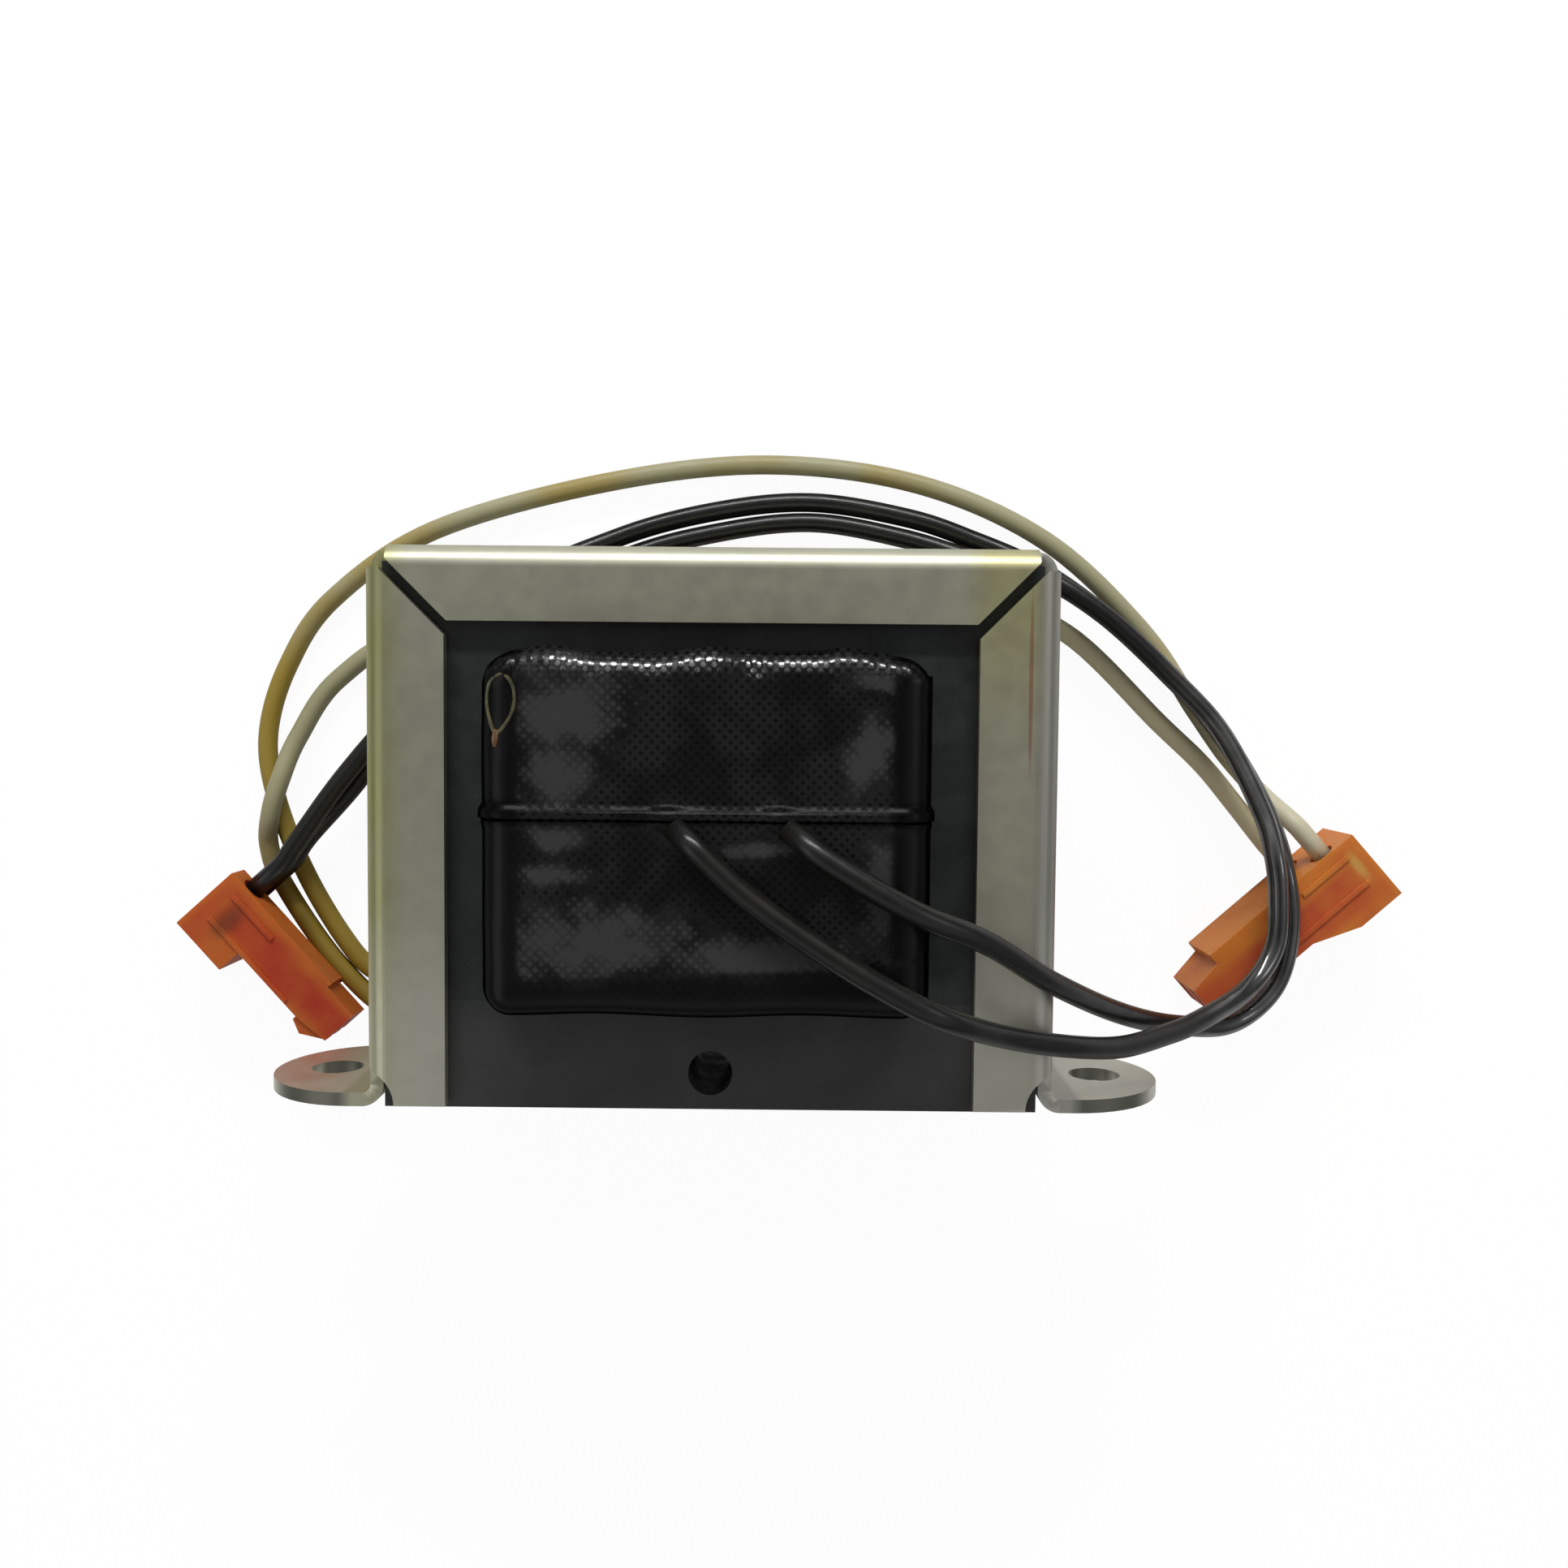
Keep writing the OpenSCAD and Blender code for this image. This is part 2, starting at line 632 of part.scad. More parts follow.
// Crimp contact: a barrel across the head, and a flat blade with rolled edges along the body
module contact(entry_u, z, length) {
    blade_z = z - barrel_d / 2 + contact_t / 2;
    blade_len = length - contact_end - entry_u;
    rolled_u = barrel_d / 2 - contact_t;
    translate([entry_u, barrel_n0, z])
        rotate([-90, 0, 0])
            cylinder(d = barrel_d, h = barrel_len);
    translate([entry_u, contact_n - contact_w / 2, blade_z])
        cube([blade_len, contact_w, contact_t]);
    for (n = [contact_n - contact_w / 2, contact_n + contact_w / 2 - contact_t])
        translate([entry_u + rolled_u, n, blade_z])
            cube([blade_len - rolled_u, contact_t, barrel_d / 2 - contact_t]);
}

// Space for a contact, open at the mouth, with its wire entry on the X axis
module contact_cavity(entry_u, z, length) {
    cavity_w = contact_w + 2 * contact_fit;
    translate([entry_u, -over, z])
        rotate([-90, 0, 0])
            cylinder(d = entry_d, h = over + barrel_n0 + barrel_len + contact_fit);
    translate([entry_u, contact_n - cavity_w / 2, z - barrel_d / 2 - contact_fit])
        cube([length, cavity_w, barrel_d / 2 + 2 * contact_fit]);
}

// Ribs along the top of a housing: one to the nose, and a short one beside the wire entry
module top_ribs(length) {
    for (rib = [[contact_n + contact_w / 2, length], [contact_n - contact_w, short_rib_len]])
        translate([rib_margin, rib[0], housing_h])
            cube([rib[1], rib_w, rib_rise]);
}

module plug_outline(wire_side, nose_side) {
    shoulder_u = plug_len - plug_nose_len;
    polygon([
        [0, wire_side], [0, plug_head_w], [plug_head_len, plug_head_w], [plug_head_len, plug_body_w],
        [shoulder_u, plug_body_w], [plug_len, plug_body_w - latch_rise / 2], [plug_len, nose_side],
        [shoulder_u, nose_side], [shoulder_u, wire_side]
    ]);
}

module plug_housing() {
    latch_u = plug_len - plug_nose_len;
    color([0.8, 0.3, 0.1])
        place_plug()
            difference() {
                union() {
                    linear_extrude(level_split)
                        plug_outline(plug_setback, plug_setback);
                    translate([0, 0, level_split])
                        linear_extrude(housing_h - level_split)
                            plug_outline(0, plug_nose_step);
                    translate([0, 0, contact_t])
                        linear_extrude(housing_h - 2 * contact_t)
                            polygon([[latch_u, plug_body_w - over], [latch_u, plug_body_w + latch_rise / 2],
                                [latch_u + 1.4 * latch_rise, plug_body_w + latch_rise],
                                [plug_len, plug_body_w - latch_rise / 2], [plug_len, plug_body_w - over]]);
                    top_ribs(plug_len - plug_nose_len - 2 * rib_margin);
                }
                translate([latch_u, -over, -over])
                    cube([plug_nose_len + over, plug_head_w + 2 * over, plug_nose_lift + over]);
                contact_cavity(plug_wire_u, upper_wire_z, plug_len);
                contact_cavity(plug_wire_u, plug_lower_wire_z, plug_len);
            }
}

module socket_outline() {
    nose_u = socket_len - socket_nose_len;
    polygon([
        [0, 0], [0, socket_head_w], [socket_head_len, socket_head_w],
        [socket_head_len + socket_slope_len, socket_body_w], [nose_u, socket_body_w],
        [nose_u, socket_body_w - socket_nose_step / 2], [socket_len, socket_body_w - socket_nose_step],
        [socket_len, 1.5 * socket_nose_step], [nose_u, socket_nose_step], [nose_u, 0]
    ]);
}

module socket_housing() {
    color([0.9, 0.42, 0.14])
        place_socket()
            difference() {
                union() {
                    linear_extrude(housing_h)
                        socket_outline();
                    top_ribs(socket_len - socket_nose_len - 2 * rib_margin);
                }
                contact_cavity(socket_upper_wire_u, upper_wire_z, socket_len);
                contact_cavity(socket_lower_wire_u, socket_lower_wire_z, socket_len);
            }
}

module plug_upper_contact() {
    color([0.78, 0.72, 0.55]) place_plug() contact(plug_wire_u, upper_wire_z, plug_len);
}

module plug_lower_contact() {
    color([0.78, 0.72, 0.55]) place_plug() contact(plug_wire_u, plug_lower_wire_z, plug_len);
}

module socket_upper_contact() {
    color([0.78, 0.72, 0.55]) place_socket() contact(socket_upper_wire_u, upper_wire_z, socket_len);
}

module socket_lower_contact() {
    color([0.78, 0.72, 0.55])
        place_socket()
            contact(socket_lower_wire_u, socket_lower_wire_z, socket_len);
}

channel_frame();
e_laminations();
i_laminations();
bobbin();
upper_winding();
lower_winding();
upper_wrap();
lower_wrap();
black_lead_a();
black_lead_b();
cream_lead_a();
cream_lead_b();
plug_housing();
socket_housing();
plug_upper_contact();
plug_lower_contact();
socket_upper_contact();
socket_lower_contact();
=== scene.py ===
"""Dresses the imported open-frame transformer: leads, cloth wraps, housings, finishes and studio.

Sizes and places are in millimetres and turn into metres where a mesh or a shader takes them.
"""

import logging
import math
from dataclasses import dataclass, field
from enum import Enum
from functools import partial, reduce
from typing import NamedTuple, Sequence

import bmesh
import bpy
from mathutils import Matrix, Vector, noise

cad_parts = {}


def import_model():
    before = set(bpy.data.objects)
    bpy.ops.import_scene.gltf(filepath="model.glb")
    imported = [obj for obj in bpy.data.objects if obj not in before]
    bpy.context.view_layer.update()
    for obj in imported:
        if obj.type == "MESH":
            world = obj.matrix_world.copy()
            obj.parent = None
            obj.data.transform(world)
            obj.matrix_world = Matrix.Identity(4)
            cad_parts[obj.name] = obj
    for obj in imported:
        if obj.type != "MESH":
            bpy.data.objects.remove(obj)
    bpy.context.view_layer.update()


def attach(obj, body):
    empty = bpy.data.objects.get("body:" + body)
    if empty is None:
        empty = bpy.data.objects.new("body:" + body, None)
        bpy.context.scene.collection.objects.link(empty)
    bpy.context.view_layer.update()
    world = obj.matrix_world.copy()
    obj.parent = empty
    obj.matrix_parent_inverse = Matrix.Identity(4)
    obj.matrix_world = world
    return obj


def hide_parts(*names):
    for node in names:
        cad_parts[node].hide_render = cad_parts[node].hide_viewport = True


LOG = logging.getLogger("transformer")
MM = 0.001
ROOT = "root"

Colour = tuple[float, float, float]
Point = tuple[float, float, float]
Range = tuple[float, float]
Pairs = Sequence[tuple[float, float]]
Material = bpy.types.Material
Mesh = bpy.types.Mesh
Piece = bpy.types.Object
Socket = bpy.types.NodeSocket
Value = Socket | float | tuple[float, ...]

# Ranges that the finishes share: a plain rise or fall, and where most of a noise lies.
RISING: Range = (0.0, 1.0)
FALLING: Range = (1.0, 0.0)
NOISE_MIDDLE: Range = (0.3, 0.7)


class Slot(Enum):
    """Names of the material slots."""

    ZINC = "zinc_steel"
    CLOTH = "varnished_cloth"
    BLACK = "black_pvc"
    CREAM = "cream_pvc"
    NYLON = "orange_nylon"


def ease(low: float, high: float, value: float) -> float:
    """Smooth step from 0 at low to 1 at high.

    Args:
        low: Value where the step starts.
        high: Value where the step ends.
        value: Value to place on the step.

    Returns:
        Height of the step, from 0 to 1.
    """
    t = min(1.0, max(0.0, (value - low) / (high - low)))
    return t * t * (3.0 - 2.0 * t)


def metres(span: Range) -> Range:
    """A range in millimetres as one in metres."""
    return span[0] * MM, span[1] * MM


class Lumps(NamedTuple):
    """Smooth random lumps: height and width in millimetres, and a seed that sets one field apart."""

    height: float
    width: float
    seed: float

    def at(self, place: Vector) -> float:
        """Height of the lumps at a point, above or below their mean."""
        shift = Vector((self.seed, 1.7 * self.seed, -self.seed))
        return self.height * noise.noise(place / self.width + shift)


class Patch(NamedTuple):
    """Soft-edged oval seen from the front: centre and half sizes in millimetres, turn in degrees."""

    x: float
    y: float
    half_x: float
    half_y: float
    turn: float = 0.0


def fill_ramp(ramp: bpy.types.ColorRamp, stops: Sequence[tuple[float, Colour]]) -> None:
    """Set the stops of a colour ramp.

    Args:
        ramp: The ramp.
        stops: Places from 0 to 1 and their colours.
    """
    while len(ramp.elements) < len(stops):
        ramp.elements.new(0.5)
    for element, (place, colour) in zip(ramp.elements, stops):
        element.position = place
        element.color = (*colour, 1.0)


class ShaderBench:
    """Node tree of one new material, with short calls for the nodes that the finishes share."""

    # A wave node repeats every pi / 10 units at a scale of 1, and an oval hardly counts the depth.
    WAVE_LENGTH = math.pi / 10.0
    DEPTH_SHARE = 0.0001

    def __init__(self, name: str) -> None:
        """Start a material.

        Args:
            name: Name of the material.
        """
        self.material = bpy.data.materials.new(name)
        self.material.use_nodes = True
        self.nodes = self.material.node_tree.nodes
        self.links = self.material.node_tree.links
        self.shader = self.nodes["Principled BSDF"]
        self.where = self.nodes.new("ShaderNodeTexCoord")

    def fix(self, **values: float | Colour) -> None:
        """Set constant inputs of the main shader.

        Args:
            **values: Names of inputs with _ for a space, and their values.
        """
        for key, value in values.items():
            socket = self.shader.inputs[key.replace("_", " ")]
            socket.default_value = (*value, 1.0) if key.endswith("Color") else value

    def feed(self, key: str, socket: Socket) -> None:
        """Link a socket to an input of the main shader."""
        self.links.new(socket, self.shader.inputs[key])

    def node(self, kind: str, output: str | int, inputs: dict[str | int, Value], **settings: str) -> Socket:
        """Add a node.

        Args:
            kind: Type of the node, without its prefix.
            output: Name or number of the output.
            inputs: Sockets or constants, by the name or number of the input.
            **settings: Properties of the node.

        Returns:
            The output.
        """
        node = self.nodes.new("ShaderNode" + kind)
        for key, setting in settings.items():
            setattr(node, key, setting)
        for key, value in inputs.items():
            if isinstance(value, Socket):
                self.links.new(value, node.inputs[key])
            else:
                node.inputs[key].default_value = value
        return node.outputs[output]

    def placed(
        self,
        source: str = "Object",
        stretch: Point = (1.0, 1.0, 1.0),
        turn: float = 0.0,
        shift: Point = (0.0, 0.0, 0.0),
    ) -> Socket:
        """Coordinates of the surface, shifted, turned about Z and stretched.

        Args:
            source: Output of the coordinate node.
            stretch: Factors along the turned axes.
            turn: Turn in degrees.
            shift: Point in millimetres that becomes the origin.

        Returns:
            The coordinates in metres.
        """
        inputs = {
            "Vector": self.where.outputs[source],
            "Location": tuple(s * MM for s in shift),
            "Rotation": (0.0, 0.0, math.radians(turn)),
            "Scale": tuple(1.0 / s for s in stretch),
        }
        return self.node("Mapping", "Vector", inputs, vector_type="TEXTURE")

    def part(self, vector: Socket, axis: str) -> Socket:
        """One axis of a vector."""
        return self.node("SeparateXYZ", axis, {"Vector": vector})

    def place(self, axis: str) -> Socket:
        """Place on the surface along one axis of the part, in metres."""
        return self.part(self.where.outputs["Object"], axis)

    def facing_up(self) -> Socket:
        """Upward part of the surface's direction."""
        return self.part(self.where.outputs["Normal"], "Z")

    def oval(self, patch: Patch) -> Socket:
        """Distance from the centre of an oval, 1 on its edge.

        Args:
            patch: The oval.

        Returns:
            The distance.
        """
        stretch = (1.0 / (patch.half_x * MM), 1.0 / (patch.half_y * MM), self.DEPTH_SHARE)
        local = self.placed(stretch=stretch, turn=patch.turn, shift=(patch.x, patch.y, 0.0))
        return self.node("VectorMath", "Value", {0: local}, operation="LENGTH")

    def grain(self, size: float, detail: float = 3.0, vector: Socket | None = None) -> Socket:
        """Noise from 0 to 1 whose lumps are about the given size in millimetres."""
        where = vector or self.where.outputs["Object"]
        return self.node("TexNoise", "Fac", {"Vector": where, "Scale": 1.0 / (size * MM), "Detail": detail})

    def bands(self, pitch: float, vector: Socket, axis: str, wobble: float) -> Socket:
        """Sine bands from 0 to 1 along one axis, with their pitch in millimetres."""
        inputs = {"Vector": vector, "Scale": self.WAVE_LENGTH / (pitch * MM), "Distortion": wobble}
        return self.node("TexWave", "Fac", inputs, bands_direction=axis)

    def sums(self, kind: str, a: Socket, b: Socket | float) -> Socket:
        """Arithmetic of the named kind on two values."""
        return self.node("Math", "Value", {0: a, 1: b}, operation=kind)

    def plus(self, a: Socket, b: Socket | float) -> Socket:
        """Sum of two values."""
        return self.sums("ADD", a, b)

    def times(self, *values: Socket | float) -> Socket:
        """Product of values, the first of them a socket."""
        return reduce(partial(self.sums, "MULTIPLY"), values)

    def most(self, *values: Socket) -> Socket:
        """Largest of the values."""
        return reduce(partial(self.sums, "MAXIMUM"), values)

    def unsigned(self, value: Socket) -> Socket:
        """A value without its sign."""
        return self.sums("ABSOLUTE", value, 0.0)

    def spread(self, value: Socket, source: Range, target: Range = RISING) -> Socket:
        """A value moved smoothly from one range to another."""
        inputs = zip(("Value", "From Min", "From Max", "To Min", "To Max"), (value, *source, *target))
        return self.node("MapRange", "Result", dict(inputs), interpolation_type="SMOOTHSTEP")

    def along(self, axis: str, span: Range, target: Range = RISING) -> Socket:
        """A value that changes smoothly between two places on one axis."""
        return self.spread(self.place(axis), metres(span), target)

    def each_side(self, span: Range, target: Range = RISING) -> Socket:
        """A value that changes smoothly between two distances from the middle, left and right alike."""
        return self.spread(self.unsigned(self.place("X")), metres(span), target)

    def shades(self, value: Socket, stops: Sequence[tuple[float, Colour]]) -> Socket:
        """Colours along a value.

        Args:
            value: Value from 0 to 1.
            stops: Places and their colours.

        Returns:
            The colour.
        """
        colour = self.node("ValToRGB", "Color", {"Fac": value})
        fill_ramp(colour.node.color_ramp, stops)
        return colour

    def blend(self, share: Socket, under: Socket | Colour, over: Socket | Colour) -> Socket:
        """Mix of two colours, by the share of the second one."""
        first, second = ((*c, 1.0) if isinstance(c, tuple) else c for c in (under, over))
        return self.node("Mix", 2, {0: share, 6: first, 7: second}, data_type="RGBA")

    def relief(self, height: Socket, depth: float, strength: float, under: Socket | None = None) -> Socket:
        """Bump from a height, with its depth in millimetres, on top of another one if it is given."""
        inputs = {"Height": height, "Distance": depth * MM, "Strength": strength}
        return self.node("Bump", "Normal", {**inputs, "Normal": under} if under else inputs)

    def roughen(self, size: float, detail: float, target: Range) -> None:
        """Let the roughness wander within a range, in lumps of the given size."""
        self.feed("Roughness", self.spread(self.grain(size, detail), NOISE_MIDDLE, target))


@dataclass(frozen=True)
class ZincSheet:
    """Satin zinc-plated sheet steel with a faint yellow passivation, stained in places, with painted shade
    on the right bend and painted light on the feet and lower end.
    """

    grey: Colour = (0.52, 0.52, 0.405)
    pale: Colour = (0.58, 0.58, 0.465)
    yellow: Colour = (0.44, 0.435, 0.16)
    warm: Colour = (0.62, 0.6, 0.47)
    olive: Colour = (0.56, 0.53, 0.24)
    # worn is painted shade: it darkens the right bend so that it shows no highlight.
    worn: Colour = (0.4, 0.4, 0.36)
    rust: Colour = (0.42, 0.16, 0.09)
    # bright is painted light, laid on the feet and towards the lower end.
    bright: Colour = (0.93, 0.92, 0.82)
    cut: Colour = (0.15, 0.153, 0.125)
    yellow_x: Range = (-25.5, -29.5)
    warm_x: Range = (21.0, 24.0)
    olive_y: Range = (4.0, 20.0)
    bend_shade_x: Range = (27.3, 28.8)
    rust_line: Patch = Patch(27.3, 13.0, 0.24, 9.5)
    painted_light_y: Range = (-4.0, -18.0)
    foot_x: Range = (31.5, 33.0)
    mottle: float = 22.0
    blotch: float = 6.0
    roll_mark: float = 0.5
    waviness: float = 18.0
    roughness: Range = (0.42, 0.47)

    def make(self) -> Material:
        """Build the material.

        Returns:
            The material.
        """
        bench = ShaderBench("zinc_sheet")
        sheet = bench.shades(bench.grain(self.mottle, 1.0), [(0.2, self.grey), (0.8, self.pale)])
        blotches = bench.spread(bench.grain(self.blotch, 2.0), (0.25, 0.6), (0.65, 1.0))
        left = bench.times(bench.along("X", self.yellow_x, (0.0, 0.9)), blotches)
        right = bench.along("X", self.warm_x, (0.0, 0.9))
        upper = bench.times(right, bench.along("Y", self.olive_y, (0.0, 0.75)))
        # Painted shade on the right bend.
        bend = bench.along("X", self.bend_shade_x, (0.0, 0.95))
        streak = bench.spread(bench.oval(self.rust_line), (0.5, 1.0), (0.6, 0.0))
        foot = bench.each_side(self.foot_x, (0.0, 0.9))
        # Painted light on the feet and towards the lower end.
        low = bench.most(foot, bench.along("Y", self.painted_light_y, (0.0, 0.45)))
        sheared = bench.times(foot, bench.spread(bench.facing_up(), (0.4, 0.8)))
        # Of these, worn on the bend is painted shade, and bright on the feet and towards the lower end is
        # painted light.
        for share, colour in (
            (left, self.yellow), (right, self.warm), (upper, self.olive), (bend, self.worn),
            (streak, self.rust), (low, self.bright), (sheared, self.cut),
        ):
            sheet = bench.blend(share, sheet, colour)
        bench.feed("Base Color", sheet)
        bench.roughen(2.2, 5.0, self.roughness)
        rolled = bench.grain(self.roll_mark, 2.0, bench.placed(stretch=(1.0, 0.12, 1.0)))
        fine = bench.relief(rolled, 0.02, 0.25)
        bench.feed("Normal", bench.relief(bench.grain(self.waviness, 0.0), 0.03, 0.05, fine))
        bench.fix(Metallic=1.0)
        return bench.material


@dataclass(frozen=True)
class CorePaint:
    """Dark grey-green dipping varnish, with dust in specks, and paler towards the lower end."""

    name: str = "core_paint"
    dark: Colour = (0.014, 0.017, 0.0165)
    light: Colour = (0.028, 0.033, 0.0315)
    dust: Colour = (0.09, 0.09, 0.08)
    paler_y: Range = (-12.0, -19.0)
    mottle: float = 4.0
    speck: float = 0.35
    peel: float = 0.9
    waviness: float = 7.0

    def make(self) -> Material:
        """Build the material.

        Returns:
            The material.
        """
        bench = ShaderBench(self.name)
        base = bench.shades(bench.grain(self.mottle, 5.0), [(0.3, self.dark), (0.7, self.light)])
        specks = bench.spread(bench.grain(self.speck, 1.0), (0.7, 0.8), (0.0, 0.6))
        # Specks of dust, and a paler tone towards the lower end.
        specks_and_paler = bench.most(specks, bench.along("Y", self.paler_y, (0.0, 0.3)))
        bench.feed("Base Color", bench.blend(specks_and_paler, base, self.dust))
        bench.roughen(1.6, 4.0, (0.36, 0.58))
        peel = bench.relief(bench.grain(self.peel, 2.0), 0.03, 0.4)
        bench.feed("Normal", bench.relief(bench.grain(self.waviness, 2.0), 0.12, 0.4, peel))
        bench.fix(Specular_IOR_Level=0.45)
        return bench.material


class WetRun(NamedTuple):
    """Run of wet varnish along the fold: where it starts and ends, and its shares there."""

    start_x: Range
    start_share: Range
    end_x: Range
    end_share: Range


@dataclass(frozen=True)
class VarnishedCloth:
    """Black cloth tape cut on the bias, soaked in varnish that fills the weave in patches, with a painted
    sheen on the patches and painted shade at the sides and below the outer layer.
    """

    black: Colour = (0.0015, 0.0015, 0.0015)
    thread: Colour = (0.0175, 0.0175, 0.0175)
    # A painted sheen: the colour of light reflected from the varnish-filled patches.
    satin: Colour = (0.056, 0.056, 0.0565)
    pitch: float = 0.63
    # Patches where varnish fills the weave and the painted sheen lies; the last one runs along the ridge.
    patches: Sequence[Patch] = (
        Patch(-11.0, 10.2, 4.6, 5.0, 30.0),
        Patch(-11.6, 5.4, 3.6, 3.4),
        Patch(14.2, 12.8, 2.8, 0.9, -12.0),
        Patch(13.2, 7.0, 2.4, 3.8, -25.0),
        Patch(-12.3, 0.2, 2.6, 1.3),
        Patch(-12.0, -2.7, 3.2, 1.1),
        Patch(-8.8, -8.2, 8.2, 3.3, 3.0),
        Patch(4.6, -9.4, 9.9, 1.9),
        Patch(14.0, -3.4, 1.8, 4.8),
        Patch(4.5, -0.6, 4.2, 0.8),
        Patch(0.0, 2.4, 17.0, 0.14),
    )
    wet_runs: Sequence[WetRun] = (
        WetRun((-13.5, -11.5), (0.15, 1.0), (0.6, 1.6), (1.0, 0.06)),
        WetRun((2.8, 3.6), (0.06, 0.9), (8.5, 10.8), (1.0, 0.25)),
    )
    fold_y: Range = (13.5, 14.0)
    fold_drips: Range = (0.0, 0.9)
    sheen_side_x: Range = (14.6, 15.4)
    sheen_z: Range = (37.5, 38.6)
    # Painted shade: the threads fade towards the sides, where the cloth turns away.
    side_shade_x: Range = (14.2, 15.6)
    # Painted shade below the pinked end of the outer layer.
    layer_shade_y: Range = (-10.9, -10.4)
    layer_slope: float = 0.045
    ridge_y: float = 2.3
    ridge_dull: Range = (0.7, 1.4)
    bias_turn: float = 45.0
    streak_turn: float = 40.0
    streak: float = 1.6
    streak_share: float = 1.7
    weave_share: float = 0.32
    rim: Range = (1.45, 2.15)
    cloud: float = 4.5
    crease: float = 2.4

    def painted_sheen_share(self, bench: ShaderBench, weave: Socket) -> Socket:
        """Share of painted sheen where varnish fills the dark weave, broken up by the threads at its rim and
        kept to the front.

        Args:
            bench: The material's bench.
            weave: Height of the threads.

        Returns:
            The share from 0 to 1.
        """
        slanted = bench.placed(stretch=(1.0, 0.65, 1.0), turn=self.streak_turn)
        streaks = bench.grain(self.streak, 5.0, slanted)
        ragged = bench.plus(bench.times(streaks, self.streak_share), bench.times(weave, self.weave_share))
        rims = [bench.plus(bench.oval(patch), ragged) for patch in self.patches]
        share = bench.most(*(bench.spread(rim, self.rim, FALLING) for rim in rims))
        return bench.times(share, bench.each_side(self.sheen_side_x, FALLING), bench.along("Z", self.sheen_z))

    def wet_share(self, bench: ShaderBench) -> Socket:
        """Share of glossy varnish that has gathered along the fold.

        Args:
            bench: The material's bench.

        Returns:
            The share from 0 to 1.
        """
        runs = []
        for run in self.wet_runs:
            start = bench.along("X", run.start_x, run.start_share)
            runs.append(bench.times(start, bench.along("X", run.end_x, run.end_share)))
        broken = bench.spread(bench.grain(1.6, 1.0), (0.3, 0.5), (0.25, 1.0))
        drips = bench.spread(bench.grain(2.6, 1.0), (0.5, 0.75), metres(self.fold_drips))
        fold = bench.spread(bench.plus(bench.place("Y"), drips), metres(self.fold_y))
        return bench.times(bench.most(*runs), broken, fold)

    def make(self) -> Material:
        """Build the material.

        Returns:
            The material.
        """
        bench = ShaderBench("varnished_cloth")
        bias = bench.placed("UV", turn=self.bias_turn)
        warp, weft = (bench.bands(self.pitch, bias, axis, 0.3) for axis in "XY")
        weave = bench.most(warp, weft)
        # Below the end of the outer layer the threads and the sheen dim: painted shade.
        sloped = bench.plus(bench.place("Y"), bench.times(bench.place("X"), -self.layer_slope))
        layer = bench.spread(sloped, metres(self.layer_shade_y), (0.2, 1.0))
        # Varnish-filled patches: they hide the threads and carry the painted sheen.
        filled_and_sheen = self.painted_sheen_share(bench, weave)
        bare = bench.spread(filled_and_sheen, RISING, (1.0, 0.35))
        clear = bench.spread(bench.grain(self.cloud, 3.0), (0.38, 0.62), (0.35, 1.0))
        # The threads fade at the sides and below the end of the outer layer: painted shade.
        threads = bench.times(weave, bare, clear, bench.each_side(self.side_shade_x, (1.0, 0.1)), layer)
        # Painted sheen on the filled patches, kept off the sides and below the outer layer.
        satin = bench.times(filled_and_sheen, layer)
        woven = bench.blend(threads, self.black, self.thread)
        bench.feed("Base Color", bench.blend(bench.times(satin, 0.85), woven, self.satin))
        bench.feed("Roughness", bench.spread(satin, RISING, (0.34, 0.42)))
        flat = bench.spread(bench.facing_up(), (0.55, 0.95))
        off_ridge = bench.unsigned(bench.plus(bench.place("Y"), -self.ridge_y * MM))
        shine = bench.times(flat, bench.spread(off_ridge, metres(self.ridge_dull), (0.5, 1.0)))
        bench.feed("Specular IOR Level", bench.times(shine, 0.18))
        crowns = bench.spread(bench.times(warp, weft), (0.12, 0.45), (0.08, 1.0))
        wet = bench.times(self.wet_share(bench), crowns, flat)
        bench.feed("Coat Weight", bench.most(bench.times(shine, 0.015), wet))
        raised = bench.relief(threads, 0.06, 0.7)
        bench.feed("Normal", bench.relief(bench.grain(self.crease, 3.0), 0.08, 0.25, raised))
        bench.fix(Coat_Roughness=0.17, Coat_IOR=3.4)
        return bench.material


@dataclass(frozen=True)
class LeadCover:
    """Smooth PVC insulation of a lead, stained in places, lighter at the right by painted light, and glossy
    at the right.
    """

    name: str
    main: Colour
    stain: Colour
    roughness: Range
    stained_y: Range | None = None
    # Painted light over the right-hand stretch, where the black leads cast their shadow on it.
    painted_fill_x: Range | None = None
    painted_fill: Colour = (0.86, 0.78, 0.5)
    glossy_x: Range | None = None
    stained_x: Range = (-27.0, -37.0)
    stain_size: float = 14.0
    rub_size: float = 4.0

    def make(self) -> Material:
        """Build the material.

        Returns:
            The material.
        """
        bench = ShaderBench(self.name)
        stained = bench.spread(bench.grain(self.stain_size, 2.0), (0.45, 0.68), (0.0, 0.7))
        if self.stained_y:
            left = bench.times(bench.along("X", self.stained_x), bench.along("Y", self.stained_y))
            stained = bench.most(stained, left)
        colour = bench.blend(stained, self.main, self.stain)
        # Painted light at the right, where the black leads shade this lead.
        if self.painted_fill_x:
            colour = bench.blend(bench.along("X", self.painted_fill_x), colour, self.painted_fill)
        bench.feed("Base Color", colour)
        bench.roughen(1.2, 4.0, self.roughness)
        bench.feed("Normal", bench.relief(bench.grain(0.8, 2.0), 0.02, 0.15))
        if self.glossy_x:
            rubbed = bench.spread(bench.grain(self.rub_size, 2.0), (0.35, 0.65), (0.5, 1.0))
            bench.feed("Coat Weight", bench.times(bench.along("X", self.glossy_x, (0.0, 0.8)), rubbed))
            bench.fix(Coat_Roughness=0.12, Coat_IOR=2.4)
        bench.fix(Specular_IOR_Level=0.5)
        return bench.material


